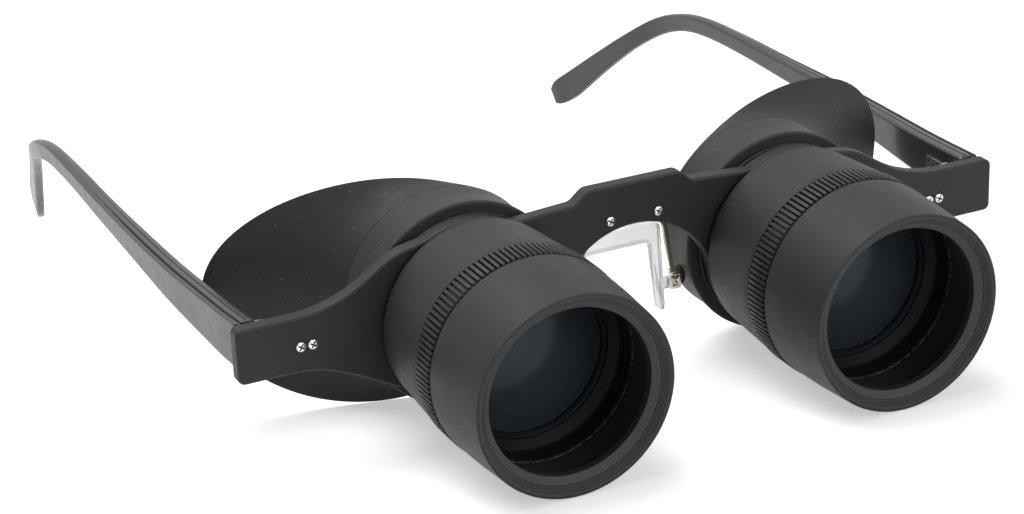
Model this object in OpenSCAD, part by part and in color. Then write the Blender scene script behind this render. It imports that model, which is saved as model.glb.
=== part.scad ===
// Binocular glasses: a spectacle frame that carries two short telescopes.
// Lengths are in millimetres. The front of the object faces -Y and +Z is up.
// Sizes are measured from the front face of the frame plate and the two barrel axes,
// and the finished object is then set with its box centred on the origin and its lowest point at 0.

/* [Frame plate] */
// Width across the two end pieces
frame_w = 171.2; // [168:0.2:180]
// Thickness of the plate
plate_t = 3.3; // [2.6:0.1:4]
// Top edge over the bridge, above the barrel axes
bridge_top = 20.1; // [18.6:0.1:23]
// Half width of the raised middle of the bridge
bridge_half = 10.4; // [8:0.1:11]
// Top edge beside the bridge
shoulder_top = 17.7; // [16.8:0.1:18.4]
// Radius of the plate round each barrel
eye_ring_r = 19.4; // [19.1:0.1:20]
// How far that ring sits outward of the barrel axis
eye_ring_out = 0.5; // [0:0.1:1]
// Radius of the nose arch
arch_r = 18; // [16.5:0.1:18.2]
// Top of the nose arch
arch_top = 10.9; // [9:0.1:11.2]
// Top edge of the end pieces
end_top = 7.3; // [6.4:0.1:8.5]
// Bottom edge of the end pieces, below the barrel axes
end_drop = 4.2; // [3.6:0.1:5]
// Radius of the end pieces' corners
end_corner_r = 1.4; // [0.6:0.1:2.5]

/* [Barrels] */
// Distance between the two barrel axes
axis_gap = 72; // [70.5:0.1:73.5]
// Radius of a barrel where it meets the plate
barrel_back_r = 18.6; // [18.2:0.1:19]
// Radius of a barrel in front of its rounded shoulder
barrel_shoulder_r = 19.9; // [19.4:0.1:20.4]
// Length of the rounded shoulder
barrel_shoulder_len = 2.8; // [1.5:0.1:5]
// Radius of a barrel behind the focus ring
barrel_front_r = 21.2; // [20.8:0.1:21.5]
// Length of a barrel in front of the plate
barrel_len = 19; // [18:0.1:22]
// Radius of the bore that guides the lens cell
cell_bore_r = 17.5; // [17.2:0.05:17.7]
// Wall of the sleeve that carries the focus ring
sleeve_wall = 1.1; // [1:0.05:1.2]
// Length of that sleeve in front of the barrel
sleeve_len = 4; // [3.9:0.1:4.4]
// Radius of the collar that passes through the plate
collar_r = 16.5; // [15.8:0.1:17]
// Length of the narrow rear bore that the eyepiece screws into
rear_bore_len = 8; // [7:0.1:10]

/* [Focus ring] */
// Radius over the ribs
ring_r = 21.5; // [21.4:0.05:22]
// Length of the ribbed band
ring_len = 6.4; // [6.2:0.1:7.4]
// Number of ribs
rib_count = 120; // [90:1:150]
// Depth of the grooves between the ribs
rib_depth = 0.55; // [0.3:0.05:0.7]
// Share of the pitch that a rib takes up
rib_share = 0.55; // [0.4:0.05:0.7]
// Length of the boss that the hood is pushed onto
boss_len = 3; // [2:0.1:4]
// Radius of that boss
boss_r = 20.2; // [20:0.05:20.4]
// Thickness of the flange that turns on the sleeve
ring_flange_t = 2.9; // [2.8:0.05:3]
// Width of the snap ring that keeps the focus ring on
snap_t = 0.6; // [0.5:0.05:0.7]
// Depth of the snap ring's groove in the sleeve
snap_groove = 0.4; // [0.3:0.05:0.5]

/* [Hoods] */
// Radius of a hood at its rear edge
hood_back_r = 21.35; // [21.1:0.05:21.6]
// Radius of a hood at its front edge
hood_front_r = 20.45; // [20.2:0.05:20.9]
// Length of a hood
hood_len = 18.5; // [17:0.1:22]
// Radius of a hood's inside
hood_bore_r = 19.35; // [19.2:0.05:19.5]
// Radius of a hood's mouth
mouth_r = 16.85; // [15.5:0.05:18]
// Length of the straight wall of the mouth
mouth_len = 1.6; // [1.2:0.1:2.2]
// How far the front face dishes in towards the mouth
face_dish = 2.5; // [1.8:0.1:3]

/* [Objective cells] */
// Distance from the plate to the front edge of a cell
cell_front = 30.4; // [29.6:0.1:31]
// Wall of the wide front part
cell_head_wall = 0.65; // [0.5:0.05:0.9]
// Length of the narrow skirt of a cell
cell_skirt_len = 10; // [9:0.1:11]
// Wall of the skirt
cell_skirt_wall = 0.8; // [0.7:0.05:1]
// Length of the slope between the two
cell_slope_len = 1.7; // [1.2:0.1:2.4]
// Lens thickness at its edge
lens_edge_t = 3.5; // [3:0.1:3.8]
// Radius of the objective lens's front curve
lens_front_curve = 62; // [45:1:90]
// Radius of the objective lens's rear curve
lens_back_curve = 95; // [80:1:160]
// Width of the ledge that the objective lens sits on
lens_ledge = 1; // [0.7:0.1:1.4]
// Length of the ledge that the objective lens sits on
lens_ledge_len = 1.5; // [1:0.1:1.8]
// Length of the ring that holds the objective lens
lens_ring_len = 1.5; // [1.2:0.1:1.8]
// Width of the guide key
key_w = 3; // [2.4:0.1:4]
// Length of the guide key
key_len = 3; // [2.4:0.1:3.5]
// Height of the guide key outside the skirt
key_h = 0.9; // [0.6:0.05:1]
// Travel of a cell each way from the middle
focus_travel = 1.2; // [0.8:0.1:1.4]

/* [Eyepieces] */
// Radius of an eyepiece flange
flange_r = 19.4; // [19:0.1:19.7]
// Distance that a flange stands behind the plate
flange_len = 4.7; // [4.4:0.1:5.2]
// Depth of the groove that holds the eyecup's bead
bead_groove = 1; // [0.8:0.1:1.3]
// Width of that groove
bead_w = 2; // [1.6:0.1:2.2]
// Distance from the plate to that groove
bead_back = 0.9; // [0.8:0.1:1]
// Radius of the eyepiece tube inside the barrel
eye_tube_r = 14.4; // [14:0.1:14.8]
// Length of that tube in front of the flange
eye_tube_len = 9; // [8:0.1:9.5]
// Radius of the eye lens
eye_lens_r = 12.5; // [11.5:0.1:13]
// Thickness of the eye lens at its edge
eye_lens_edge_t = 4.4; // [4:0.1:4.8]
// Radius of the eye lens's hollow curves
eye_lens_curve = 52; // [45:1:80]
// Width of the ledges that hold the eye lens
eye_ledge = 1.1; // [0.8:0.1:1.4]
// Length of the ledge in front of the eye lens
eye_ledge_len = 1.2; // [0.8:0.1:1.6]
// Length of the ring behind the eye lens
eye_ring_len = 1.4; // [1:0.1:1.8]

/* [Eyecups] */
// Radius of an eyecup's collar at its front
cup_collar_r = 21.6; // [21.2:0.1:21.8]
// Radius of the collar at its seam with the wing
cup_seam_r = 21; // [20.8:0.1:21.6]
// Distance from the plate to the seam between collar and wing
cup_seam_y = 15.6; // [14:0.1:18]
// Half width of the rim, from side to side
cup_rim_half_w = 32; // [31.4:0.1:33]
// Height of the rim above its middle
cup_rim_up = 21.5; // [21:0.1:23]
// Depth of the rim below its middle
cup_rim_down = 27.3; // [26:0.1:28]
// How far the rim's middle lies outward of the barrel axis
cup_rim_out = 11.4; // [10:0.1:11.8]
// How far the rim's middle lies above the barrel axis
cup_rim_rise = 1.6; // [0.8:0.1:2]
// Distance of the rim behind the plate at the nose
cup_rim_near_y = 16.6; // [16.6:0.1:20]
// Distance of the rim behind the plate at the temple
cup_rim_far_y = 35.5; // [30:0.1:38]
// How late the rim sweeps back on its way outward
cup_rim_bend = 1.6; // [1.4:0.1:3]
// Turn of the left cup on its flange, in degrees, upward at the temple
left_cup_turn = -3.5; // [-6:0.5:6]
// Turn of the right cup on its flange, in degrees, upward at the temple
right_cup_turn = 1.5; // [-6:0.5:6]
// Wall of the rubber
cup_wall = 1.5; // [1.2:0.1:2]

/* [Temples] */
// Thickness of a temple, side to side
temple_t = 4.4; // [4:0.1:5]
// Thickness at the tip, from side to side
temple_tip_t = 2; // [1.6:0.1:3]
// Gap between the frame plate and the end of a temple
temple_gap = 0.3; // [0.2:0.05:0.5]
// Height of a temple at the hinge
temple_root_h = 10.3; // [9:0.1:10.8]
// Height of a temple at its bend
temple_bend_h = 4.4; // [4:0.1:6]
// Height of the rounded tip
temple_tip_h = 6.6; // [5:0.1:8]
// Distance from the plate to the back of a temple's tip
temple_back = 178; // [168:1:190]
// Bevel along a temple's edges
temple_bevel = 1.1; // [0.6:0.1:1.5]
// Inward bow of the left temple in the middle of its length
left_temple_bow = 2.1; // [0:0.1:3]
// Inward bow of the right temple in the middle of its length
right_temple_bow = 0; // [0:0.1:3]
// How much lower the left temple's tip hangs
left_tail_drop = 1.7; // [0:0.1:3]
// How much lower the right temple's tip hangs
right_tail_drop = 0; // [0:0.1:3]

/* [Hinges] */
// Distance from the end of the frame to the hinge pin
hinge_inset = 7; // [6.6:0.1:7.4]
// Distance from the plate's back to the hinge pin
hinge_back = 2.9; // [2.8:0.1:3.4]
// Height of the hinge's middle
hinge_z = 1.6; // [1:0.1:2.2]
// Radius of a hinge knuckle
knuckle_r = 1.4; // [1.2:0.05:1.4]
// Height of each of the three knuckles
knuckle_h = 2.1; // [1.8:0.1:2.4]
// Radius of the hinge screw
hinge_screw_r = 0.7; // [0.6:0.05:0.8]
// Thickness of the hinge leaves
leaf_t = 0.9; // [0.7:0.1:1.1]
// Length of the leaf on the frame
frame_leaf_len = 9.6; // [9.2:0.1:11]
// Length of the leaf in the temple
temple_leaf_len = 10; // [8:0.5:12]
// Radius of the rivets
rivet_r = 0.85; // [0.7:0.05:1]
// Distance between the two rivets of a hinge
rivet_gap = 2.5; // [2.2:0.1:3]
// Distance from the end of the frame to the middle of the rivets
rivet_inset = 14.25; // [13.8:0.05:14.6]
// Height of the hinge rivets
rivet_z = 1.1; // [0.8:0.1:1.6]
// How far the rivet heads stand out
rivet_head = 0.35; // [0.2:0.05:0.5]

/* [Nose piece] */
// Distance from the middle to a nose arm's rivet
arm_rivet_x = 5.4; // [5:0.1:6]
// Height of those rivets
arm_rivet_z = 12.6; // [12.5:0.1:13.5]
// Thickness of a nose arm
arm_t = 0.8; // [0.6:0.05:1]
// Width of a nose arm's strip, seen from the front
arm_w = 0.8; // [0.7:0.1:1.2]
// Depth of a nose arm's strip, front to back
arm_d = 1.1; // [1:0.1:1.4]
// Distance from the middle to a pad box
box_x = 13.2; // [13.2:0.1:13.8]
// Distance from the plate's back to a pad box
box_back = 5.4; // [5:0.1:6]
// Height of a pad box's middle, below the barrel axes
box_drop = 7.5; // [7:0.1:8]
// Width of a pad box
box_w = 2.6; // [2:0.1:2.6]
// Depth of a pad box
box_d = 2.4; // [2.3:0.1:2.8]
// Height of a pad box
box_h = 3.2; // [2.6:0.1:3.2]
// Radius of the arm's rolled end on top of a pad box
roll_r = 0.8; // [0.6:0.05:0.9]
// Width of the slot in a pad box
box_slot = 1.4; // [1.2:0.1:1.6]
// Radius of a pad screw
pad_screw_r = 0.5; // [0.4:0.05:0.55]
// Thickness of the saddle's bar and of its legs at the top
saddle_t = 2; // [1.8:0.1:2.4]
// Thickness of the legs at their ends
saddle_tip_t = 1.1; // [1:0.1:1.6]
// Depth of the saddle, front to back
saddle_d = 3; // [2.4:0.1:4]
// Height of the bar's lower edge
saddle_bar_low = 2.6; // [2:0.1:3.4]
// Height of the saddle's bar
saddle_bar_h = 4.6; // [4:0.1:5]
// Half width of the saddle at its top
saddle_top_half = 9.7; // [9.2:0.1:9.9]
// Half width of the saddle at the ends of its legs
saddle_foot_half = 10.6; // [10.2:0.1:11]
// Bottom of the legs, below the barrel axes
saddle_drop = 13.2; // [12:0.1:16]

/* [Clearances] */
// Running clearance of turning and sliding fits, on the radius
run_fit = 0.06; // [0.04:0.01:0.1]
// Clearance of the focus thread, on the radius
thread_fit = 0.1; // [0.06:0.01:0.1]
// Clearance of pieces that are pushed or screwed together, on the radius
seat_fit = 0.04; // [0.02:0.01:0.08]
// Gap between faces that turn past each other
face_gap = 0.1; // [0.08:0.01:0.15]

/* [Hidden] */

left = -1;
right = 1;
axis_x = axis_gap / 2;
end_x = frame_w / 2;
through = 1;

// Radii that the nested barrel pieces share
sleeve_r = cell_bore_r + sleeve_wall;
plate_hole_r = collar_r + seat_fit;
cell_head_r = hood_bore_r - thread_fit;
cell_skirt_r = cell_bore_r - run_fit;
lens_bore_r = cell_skirt_r - cell_skirt_wall;
lens_r = lens_bore_r - seat_fit;
lens_ring_hole_r = lens_bore_r - lens_ledge;

// Distances in front of the plate that the nested barrel pieces share
ring_back = barrel_len + face_gap;
ring_front = ring_back + ring_len;
sleeve_front = barrel_len + sleeve_len;
snap_back = ring_back + ring_flange_t + face_gap;
hood_front = ring_front + hood_len;
cell_stop_gap = 0.2;
cell_step = 0.2;
cell_head_back = sleeve_front + focus_travel + cell_stop_gap;
cell_back = cell_head_back - cell_skirt_len;
slope_back = cell_head_back + cell_step;
lens_front = cell_head_back - lens_ring_len;
lens_back = lens_front - lens_edge_t;
key_inset = 1.5;
key_back = cell_back + key_inset;
key_bed = 0.5;
key_fit = 0.02;
snap_side_gap = 0.02;
snap_reach = hood_bore_r - 0.15;
snap_opening = 5;
collar_len = plate_t - face_gap;

// Eyepiece places, behind the plate's front face
flange_front_y = plate_t;
flange_back_y = plate_t + flange_len;
bead_front_y = plate_t + bead_back;
eye_tube_hole_r = eye_tube_r + seat_fit;
eye_bore_r = eye_lens_r + seat_fit;
eye_hole_r = eye_lens_r - eye_ledge;
eye_tube_front_y = flange_front_y - eye_tube_len;
eye_lens_front_y = eye_tube_front_y + eye_ledge_len;
eye_lens_back_y = eye_lens_front_y + eye_lens_edge_t;

// Hinge place, for the right side
pin_x = end_x - hinge_inset;
pin_y = plate_t + hinge_back;
knuckle_gap = 0.08;
hinge_h = 3 * knuckle_h;
temple_inner_x = pin_x + knuckle_r + face_gap;
leaf_half_h = knuckle_h * 1.1;
hinge_rivet_xs = [for (s = [-0.5, 0.5]) end_x - rivet_inset + s * rivet_gap];
rivet_hole_r = rivet_r + seat_fit;

// Nose piece places, for the right side
box_y = plate_t + box_back;
box_top_t = 0.7;
lug_gap = 0.2;
lug_h = box_h - box_top_t - lug_gap;
lug_z = -box_drop - box_h / 2 + lug_gap;
pad_screw_z = lug_z + lug_h / 2;
arm_bend = [arm_rivet_x + 3.1, arm_rivet_z - 4.6];

// Right half of the plate's outline between barrel and end, as [x, z, corner radius]
waist_x = axis_x + 25.5;
arm_outline = [
    [axis_x + 4, 0, 0], [axis_x + 4, eye_ring_r - 1.2, 0], [axis_x + 16.2, end_top + 8.6, 14],
    [waist_x, end_top + 2.6, 24], [waist_x + 7.5, end_top, 28], [end_x, end_top, end_corner_r],
    [end_x, -end_drop, end_corner_r], [waist_x + 7.6, -end_drop, 24], [waist_x - 1, -end_drop - 4, 30],
    [axis_x + 13.5, -end_drop - 9.9, 3], [axis_x + 4, -end_drop - 12, 0]];

// Right half of the bridge, from its middle to inside the ring
bridge_outline = [
    [bridge_half, bridge_top, 2.2], [bridge_half + 2.9, shoulder_top, 2.2],
    [axis_x - 9, shoulder_top - 0.8, 0], [axis_x - 6, shoulder_top - 3, 0], [axis_x - 6, -4, 0]];

function unit(v) = v / norm(v);
function turn(a0, a1) = ((a1 - a0) % 360 + 540) % 360 - 180;

// Arc of radius r that rounds the corner b between a and c
function corner_arc(a, b, c, r, steps) =
    let (u = unit(a - b), w = unit(c - b), half = acos(u * w) / 2, o = b + unit(u + w) * r / sin(half),
        p = b + u * r / tan(half) - o, q = b + w * r / tan(half) - o,
        start = atan2(p.y, p.x), sweep = turn(start, atan2(q.y, q.x)))
    [for (i = [0:steps]) o + r * [cos(start + sweep * i / steps), sin(start + sweep * i / steps)]];

// Closed outline from [x, z, corner radius] points
function rounded(pts, steps = 6) =
    [for (i = [0:len(pts) - 1])
        let (k = len(pts), a = pts[(i + k - 1) % k], b = pts[i], c = pts[(i + 1) % k])
        each (b[2] > 0 ? corner_arc([a.x, a.y], [b.x, b.y], [c.x, c.y], b[2], steps) : [[b.x, b.y]])];

// The same outline points seen in a mirror at x = 0, in reverse order
function mirrored(pts) = [for (i = [len(pts) - 1:-1:0]) [-pts[i].x, pts[i].y, pts[i][2]]];

// Dish of a curve of radius curve at distance r from the axis
function sag(curve, r) = curve - sqrt(curve * curve - r * r);

// Point at t on the smooth curve through the list p, counted in list steps
function smooth_at(p, t) =
    let (n = len(p) - 1, i = min(floor(t), n - 1), s = t - i,
        a = p[max(i - 1, 0)], b = p[i], c = p[i + 1], d = p[min(i + 2, n)])
    0.5 * (2 * b + (c - a) * s + (2 * a - 5 * b + 4 * c - d) * s * s + (3 * b - a - 3 * c + d) * s * s * s);

// Temple: [side offset, distance behind the plate, height, depth of the section, share of its thinning]
temple_root_y = plate_t + temple_gap;
temple_drawn_back = 178;
temple_tail = temple_back - temple_drawn_back;
temple_path = [
    [0, temple_root_y, 2.4, temple_root_h, 0], [0.9, 20, 2, temple_root_h - 1.2, 0],
    [2.2, 40, 2, temple_bend_h + 3.1, 0.05], [2.9, 62, 2.4, temple_bend_h + 1.3, 0.15],
    [2.8, 84, 2.4, temple_bend_h + 0.4, 0.3], [2.3, 104, 2.6, temple_bend_h, 0.45],
    [1.7, 120 + temple_tail, 2.1, temple_bend_h, 0.6], [1.1, 131 + temple_tail, 0.3, temple_bend_h, 0.7],
    [-0.4, 141.2 + temple_tail, -3.5, temple_bend_h + 0.2, 0.8],
    [-3.4, 151.5 + temple_tail, -10.1, temple_bend_h + 0.4, 0.88],
    [-6.7, 163 + temple_tail, -19, temple_tip_h - 0.7, 0.95],
    [-9.4, 172.5 + temple_tail, -26.8, temple_tip_h + 0.5, 1],
    [-11, 177.5 + temple_tail, -30.4, temple_tip_h, 1],
    [-11.5, 179.2 + temple_tail, -31.9, temple_tip_h - 1.8, 1]];
temple_steps = 4;

// Section of the temple: a bevelled rectangle, as [share of thickness, share of height, bevel signs]
temple_corners = [[1, 1], [-1, 1], [-1, -1], [1, -1]];
function temple_section(t, h) =
    let (b = min(temple_bevel, h * 0.3, t * 0.3))
    [for (c = temple_corners)
        let (x = c.x * t / 2, z = c.y * h / 2, flip = c.x * c.y > 0)
        each (flip
            ? [[x, z - c.y * b], [x - c.x * b * 0.3, z - c.y * b * 0.3], [x - c.x * b, z]]
            : [[x - c.x * b, z], [x - c.x * b * 0.3, z - c.y * b * 0.3], [x, z - c.y * b]])];

temple_last = (len(temple_path) - 1) * temple_steps;
function temple_bow(side) = side == right ? right_temple_bow : left_temple_bow;
function tail_drop(side) = side == right ? right_tail_drop : left_tail_drop;

// Share of a temple's length at distance y behind the plate, and share of its tail behind the bend
tail_y = 125 + temple_tail;
temple_end = temple_path[len(temple_path) - 1].y;
function length_share(y) = max(0, y - 12) / (temple_end - 12);
function tail_share(y) = max(0, y - tail_y) / (temple_end - tail_y);
function temple_at(side, i) =
    let (p = smooth_at(temple_path, i / temple_steps))
    [p.x - temple_bow(side) * sin(180 * length_share(p.y)), p.y,
        p[2] - tail_drop(side) * tail_share(p.y), p[3], p[4]];
function temple_dir(side, i) = unit(
    let (a = temple_at(side, max(i - 1, 0)), b = temple_at(side, min(i + 1, temple_last)))
    i < 2 ? [1, 0] : [b.y - a.y, b[2] - a[2]]);
function temple_rings(side) = [for (i = [0:temple_last])
    let (p = temple_at(side, i), d = temple_dir(side, i),
        t = temple_t - (temple_t - temple_tip_t) * p[4])
    [for (q = temple_section(t * (i > temple_last - 2 ? 0.8 : 1), p[3]))
        [temple_inner_x + temple_t + p[0] - t / 2 + q.x, p[1] - d.y * q.y, p[2] + d.x * q.y]]];

// Lowest and rearmost points of the object, which the temple tips make
low_z = min([for (side = [left, right], ring = temple_rings(side), p = ring) p.z]);
back_y = max([for (side = [left, right], ring = temple_rings(side), p = ring) p.y]);
mid_y = (back_y - hood_front) / 2;

// Closed skin over rings of points that have the same count
module skin(rings, closed = false) {
    n = len(rings);
    k = len(rings[0]);
    loops = closed ? n - 1 : n - 2;
    sides = [for (i = [0:loops], j = [0:k - 1])
        let (a = i * k + j, b = i * k + (j + 1) % k, m = ((i + 1) % n) * k)
        each [[a, m + j, m + (j + 1) % k], [a, m + (j + 1) % k, b]]];
    ends = closed ? [] : [[for (j = [0:k - 1]) j], [for (j = [k - 1:-1:0]) (n - 1) * k + j]];
    polyhedron(points = [for (r = rings, p = r) p], faces = concat(sides, ends), convexity = 6);
}

// Sets a piece in the finished object
module placed() {
    translate([0, -mid_y, -low_z]) children();
}

// Sets a piece drawn along +Z in front of the plate on the axis of one barrel
module on_barrel(side) {
    placed() translate([side * axis_x, 0, 0]) rotate([90, 0, 0]) children();
}

// Sets a piece drawn for the right side on one side
module on_side(side) {
    placed() mirror([side == left ? 1 : 0, 0, 0]) children();
}

// A turned piece from its [radius, distance] outline
module turned(points, fn = 96) {
    rotate_extrude($fn = fn) polygon(points);
}

module frame_plate() {
    color("#232325") placed() difference() {
        rotate([90, 0, 0]) translate([0, 0, -plate_t]) difference() {
            union() {
                for (side = [left, right]) {
                    translate([side * (axis_x + eye_ring_out), 0, 0])
                        cylinder(r = eye_ring_r, h = plate_t, $fn = 120);
                    linear_extrude(plate_t) polygon(rounded(side == right ? arm_outline : mirrored(arm_outline)));
                }
                linear_extrude(plate_t) polygon(rounded(concat(bridge_outline, mirrored(bridge_outline))));
            }
            translate([0, arch_top - arch_r, -through])
                cylinder(r = arch_r, h = plate_t + 2 * through, $fn = 120);
        }
        for (side = [left, right]) {
            translate([side * axis_x, plate_t + through, 0]) rotate([90, 0, 0])
                cylinder(r = plate_hole_r, h = plate_t + 2 * through, $fn = 96);
            for (x = hinge_rivet_xs) rivet_hole(side * x, rivet_z);
            rivet_hole(side * arm_rivet_x, arm_rivet_z);
        }
    }
}

// Hole for a rivet through the plate and what lies against its back
module rivet_hole(x, z) {
    translate([x, plate_t + leaf_t + through, z]) rotate([90, 0, 0])
        cylinder(r = rivet_hole_r, h = plate_t + leaf_t + 2 * through, $fn = 32);
}

// Rivet through the plate and a leaf of thickness t, with a domed head at each end
module rivet(x, z, t) {
    head_r = rivet_r * 1.15;
    length = plate_t + t;
    translate([x, 0, z]) rotate([90, 0, 0]) turned([
        [0, -length - rivet_head], [head_r * 0.6, -length - rivet_head], [head_r, -length],
        [rivet_r, -length], [rivet_r, 0], [head_r, 0], [head_r * 0.6, rivet_head], [0, rivet_head]], 32);
}

module barrel(side) {
    shoulder = [for (a = [0:15:90]) [barrel_back_r + (barrel_shoulder_r - barrel_back_r) * sin(a),
        barrel_shoulder_len * (1 - cos(a))]];
    color("#2b2b2d") on_barrel(side) difference() {
        turned(concat([[eye_tube_hole_r, -collar_len], [collar_r, -collar_len], [collar_r, 0]], shoulder, [
            [barrel_front_r, barrel_len - 1.6], [barrel_front_r, barrel_len - 0.3],
            [barrel_front_r - 0.3, barrel_len], [sleeve_r, barrel_len],
            [sleeve_r, snap_back], [sleeve_r - snap_groove, snap_back],
            [sleeve_r - snap_groove, snap_back + snap_t], [sleeve_r, snap_back + snap_t],
            [sleeve_r, sleeve_front], [cell_bore_r, sleeve_front], [cell_bore_r, rear_bore_len],
            [eye_tube_hole_r, rear_bore_len]]));
        guide_slot();
    }
}

// Slot in the barrel's bore that keeps the lens cell from turning
module guide_slot() {
    slot_w = key_w + 2 * run_fit;
    slot_r = cell_skirt_r + key_h + run_fit * 3;
    translate([-slot_w / 2, -slot_r, key_back - focus_travel - 1])
        cube([slot_w, slot_r - cell_bore_r + 1, sleeve_front - key_back + focus_travel + 1 + through]);
}

module focus_ring(side) {
    pitch = 360 / rib_count;
    root_r = ring_r - rib_depth;
    half = pitch * rib_share / 2;
    ribs = [for (i = [0:rib_count - 1], e = [[root_r, -half - 0.25], [ring_r, -half + 0.1],
        [ring_r, half - 0.1], [root_r, half + 0.25]]) e[0] * [cos(i * pitch + e[1]), sin(i * pitch + e[1])]];
    color("#262628") on_barrel(side) {
        difference() {
            translate([0, 0, ring_back]) linear_extrude(ring_len) polygon(ribs);
            turned([[0, ring_back - through], [sleeve_r + run_fit, ring_back - through],
                [sleeve_r + run_fit, ring_back + ring_flange_t], [hood_bore_r, ring_back + ring_flange_t],
                [hood_bore_r, ring_front + through], [0, ring_front + through]]);
        }
        turned([[hood_bore_r, ring_front - 0.5], [boss_r, ring_front - 0.5], [boss_r, ring_front + boss_len],
            [hood_bore_r, ring_front + boss_len]]);
    }
}

module snap_ring(side) {
    inner_r = sleeve_r - snap_groove + seat_fit;
    back = snap_back + snap_side_gap;
    front = snap_back + snap_t - snap_side_gap;
    color("#8d9093") on_barrel(side) difference() {
        turned([[inner_r, back], [snap_reach, back], [snap_reach, front], [inner_r, front]]);
        translate([-snap_opening / 2, cell_bore_r - through, snap_back - through])
            cube([snap_opening, snap_reach - cell_bore_r + 2 * through, snap_t + 2 * through]);
    }
}

module hood(side) {
    lip_back = hood_front - face_dish - mouth_len;
    boss_hole_r = boss_r + seat_fit;
    boss_end = ring_front + boss_len + seat_fit;
    color("#29292b") on_barrel(side) turned([
        [boss_hole_r, ring_front], [hood_back_r - 0.25, ring_front], [hood_back_r, ring_front + 0.25],
        [(hood_back_r + hood_front_r) / 2 + 0.2, ring_front + hood_len * 0.45],
        [hood_front_r, hood_front - 0.4], [hood_front_r - 0.12, hood_front - 0.12],
        [hood_front_r - 0.4, hood_front], [hood_front_r - 0.65, hood_front],
        [mouth_r, hood_front - face_dish], [mouth_r, lip_back], [hood_bore_r, lip_back - 1.2],
        [hood_bore_r, boss_end], [boss_hole_r, boss_end]]);
}

module objective_cell(side) {
    head_in_r = cell_head_r - cell_head_wall;
    color("#1d1d1f") on_barrel(side) difference() {
        turned([[lens_bore_r, cell_back], [cell_skirt_r, cell_back], [cell_skirt_r, cell_head_back],
            [cell_head_r, cell_head_back], [cell_head_r, cell_front], [head_in_r, cell_front],
            [head_in_r, slope_back + cell_slope_len], [lens_bore_r, slope_back],
            [lens_bore_r, lens_back], [lens_ring_hole_r, lens_back],
            [lens_ring_hole_r, lens_back - lens_ledge_len], [lens_bore_r, lens_back - lens_ledge_len]]);
        key_pocket();
    }
}

// Shallow bed for the guide key in the outside of the skirt
module key_pocket() {
    translate([-(key_w + key_fit) / 2, -cell_skirt_r - through, key_back - key_fit / 2])
        cube([key_w + key_fit, through + key_bed, key_len + key_fit]);
}

module guide_key(side) {
    color("#b9a36a") on_barrel(side)
        translate([-key_w / 2, -cell_skirt_r - key_h, key_back])
            cube([key_w, key_h + key_bed - key_fit, key_len]);
}

module objective_lens(side) {
    open_r = lens_ring_hole_r - 0.1;
    steps = 8;
    front = [for (i = [0:steps]) let (r = open_r * (1 - i / steps))
        [r, lens_front + sag(lens_front_curve, open_r) - sag(lens_front_curve, r)]];
    back = [for (i = [0:steps]) let (r = open_r * i / steps)
        [r, lens_back - sag(lens_back_curve, open_r) + sag(lens_back_curve, r)]];
    color("#2a3a4a") on_barrel(side)
        turned(concat([[lens_r, lens_back], [lens_r, lens_front]], front, back));
}

module objective_ring(side) {
    front = lens_front + lens_ring_len;
    color("#151517") on_barrel(side) turned([[lens_ring_hole_r, lens_front], [lens_r, lens_front],
        [lens_r, front], [lens_ring_hole_r + 0.3, front], [lens_ring_hole_r, front - 0.5]]);
}

module eyepiece(side) {
    groove_r = flange_r - bead_groove;
    color("#1f1f21") on_barrel(side) turned([
        [eye_hole_r, -eye_tube_front_y], [eye_tube_r, -eye_tube_front_y], [eye_tube_r, -flange_front_y],
        [groove_r, -flange_front_y], [flange_r, -flange_front_y], [flange_r, -bead_front_y],
        [groove_r, -bead_front_y], [groove_r, -bead_front_y - bead_w], [flange_r, -bead_front_y - bead_w],
        [flange_r, -flange_back_y + 0.4], [flange_r - 0.4, -flange_back_y],
        [eye_bore_r + 1.2, -flange_back_y], [eye_bore_r, -flange_back_y + 1.2],
        [eye_bore_r, -eye_lens_front_y], [eye_hole_r, -eye_lens_front_y]]);
}

module eye_lens(side) {
    open_r = eye_hole_r - 0.1;
    steps = 8;
    front = [for (i = [0:steps]) let (r = open_r * (1 - i / steps))
        [r, -eye_lens_front_y - sag(eye_lens_curve, open_r) + sag(eye_lens_curve, r)]];
    back = [for (i = [0:steps]) let (r = open_r * i / steps)
        [r, -eye_lens_back_y + sag(eye_lens_curve, open_r) - sag(eye_lens_curve, r)]];
    color("#33434c") on_barrel(side) turned(concat(
        [[eye_lens_r, -eye_lens_back_y], [eye_lens_r, -eye_lens_front_y]], front, back));
}

module eye_lens_ring(side) {
    back = eye_lens_back_y + eye_ring_len;
    color("#151517") on_barrel(side) turned([[eye_hole_r, -eye_lens_back_y], [eye_lens_r, -eye_lens_back_y],
        [eye_lens_r, -back], [eye_hole_r + 0.4, -back], [eye_hole_r, -back + 0.4]]);
}

// Eyecup: rim point and collar point in direction a, with x outward of the barrel axis
function oval_reach(a, h) =
    let (w = cup_rim_half_w, u = [cos(a) / w, sin(a) / h],
        o = [cup_rim_out / w, cup_rim_rise / h], qa = u * u, qb = -2 * (u * o), qc = o * o - 1)
    (-qb + sqrt(qb * qb - 4 * qa * qc)) / (2 * qa);
function rim_reach(a) = let (up = oval_reach(a, cup_rim_up))
    up * sin(a) > cup_rim_rise ? up : oval_reach(a, cup_rim_down);
function rim_y(x) = cup_rim_near_y + (cup_rim_far_y - cup_rim_near_y)
    * pow((x - cup_rim_out + cup_rim_half_w) / (2 * cup_rim_half_w), cup_rim_bend);

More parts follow.
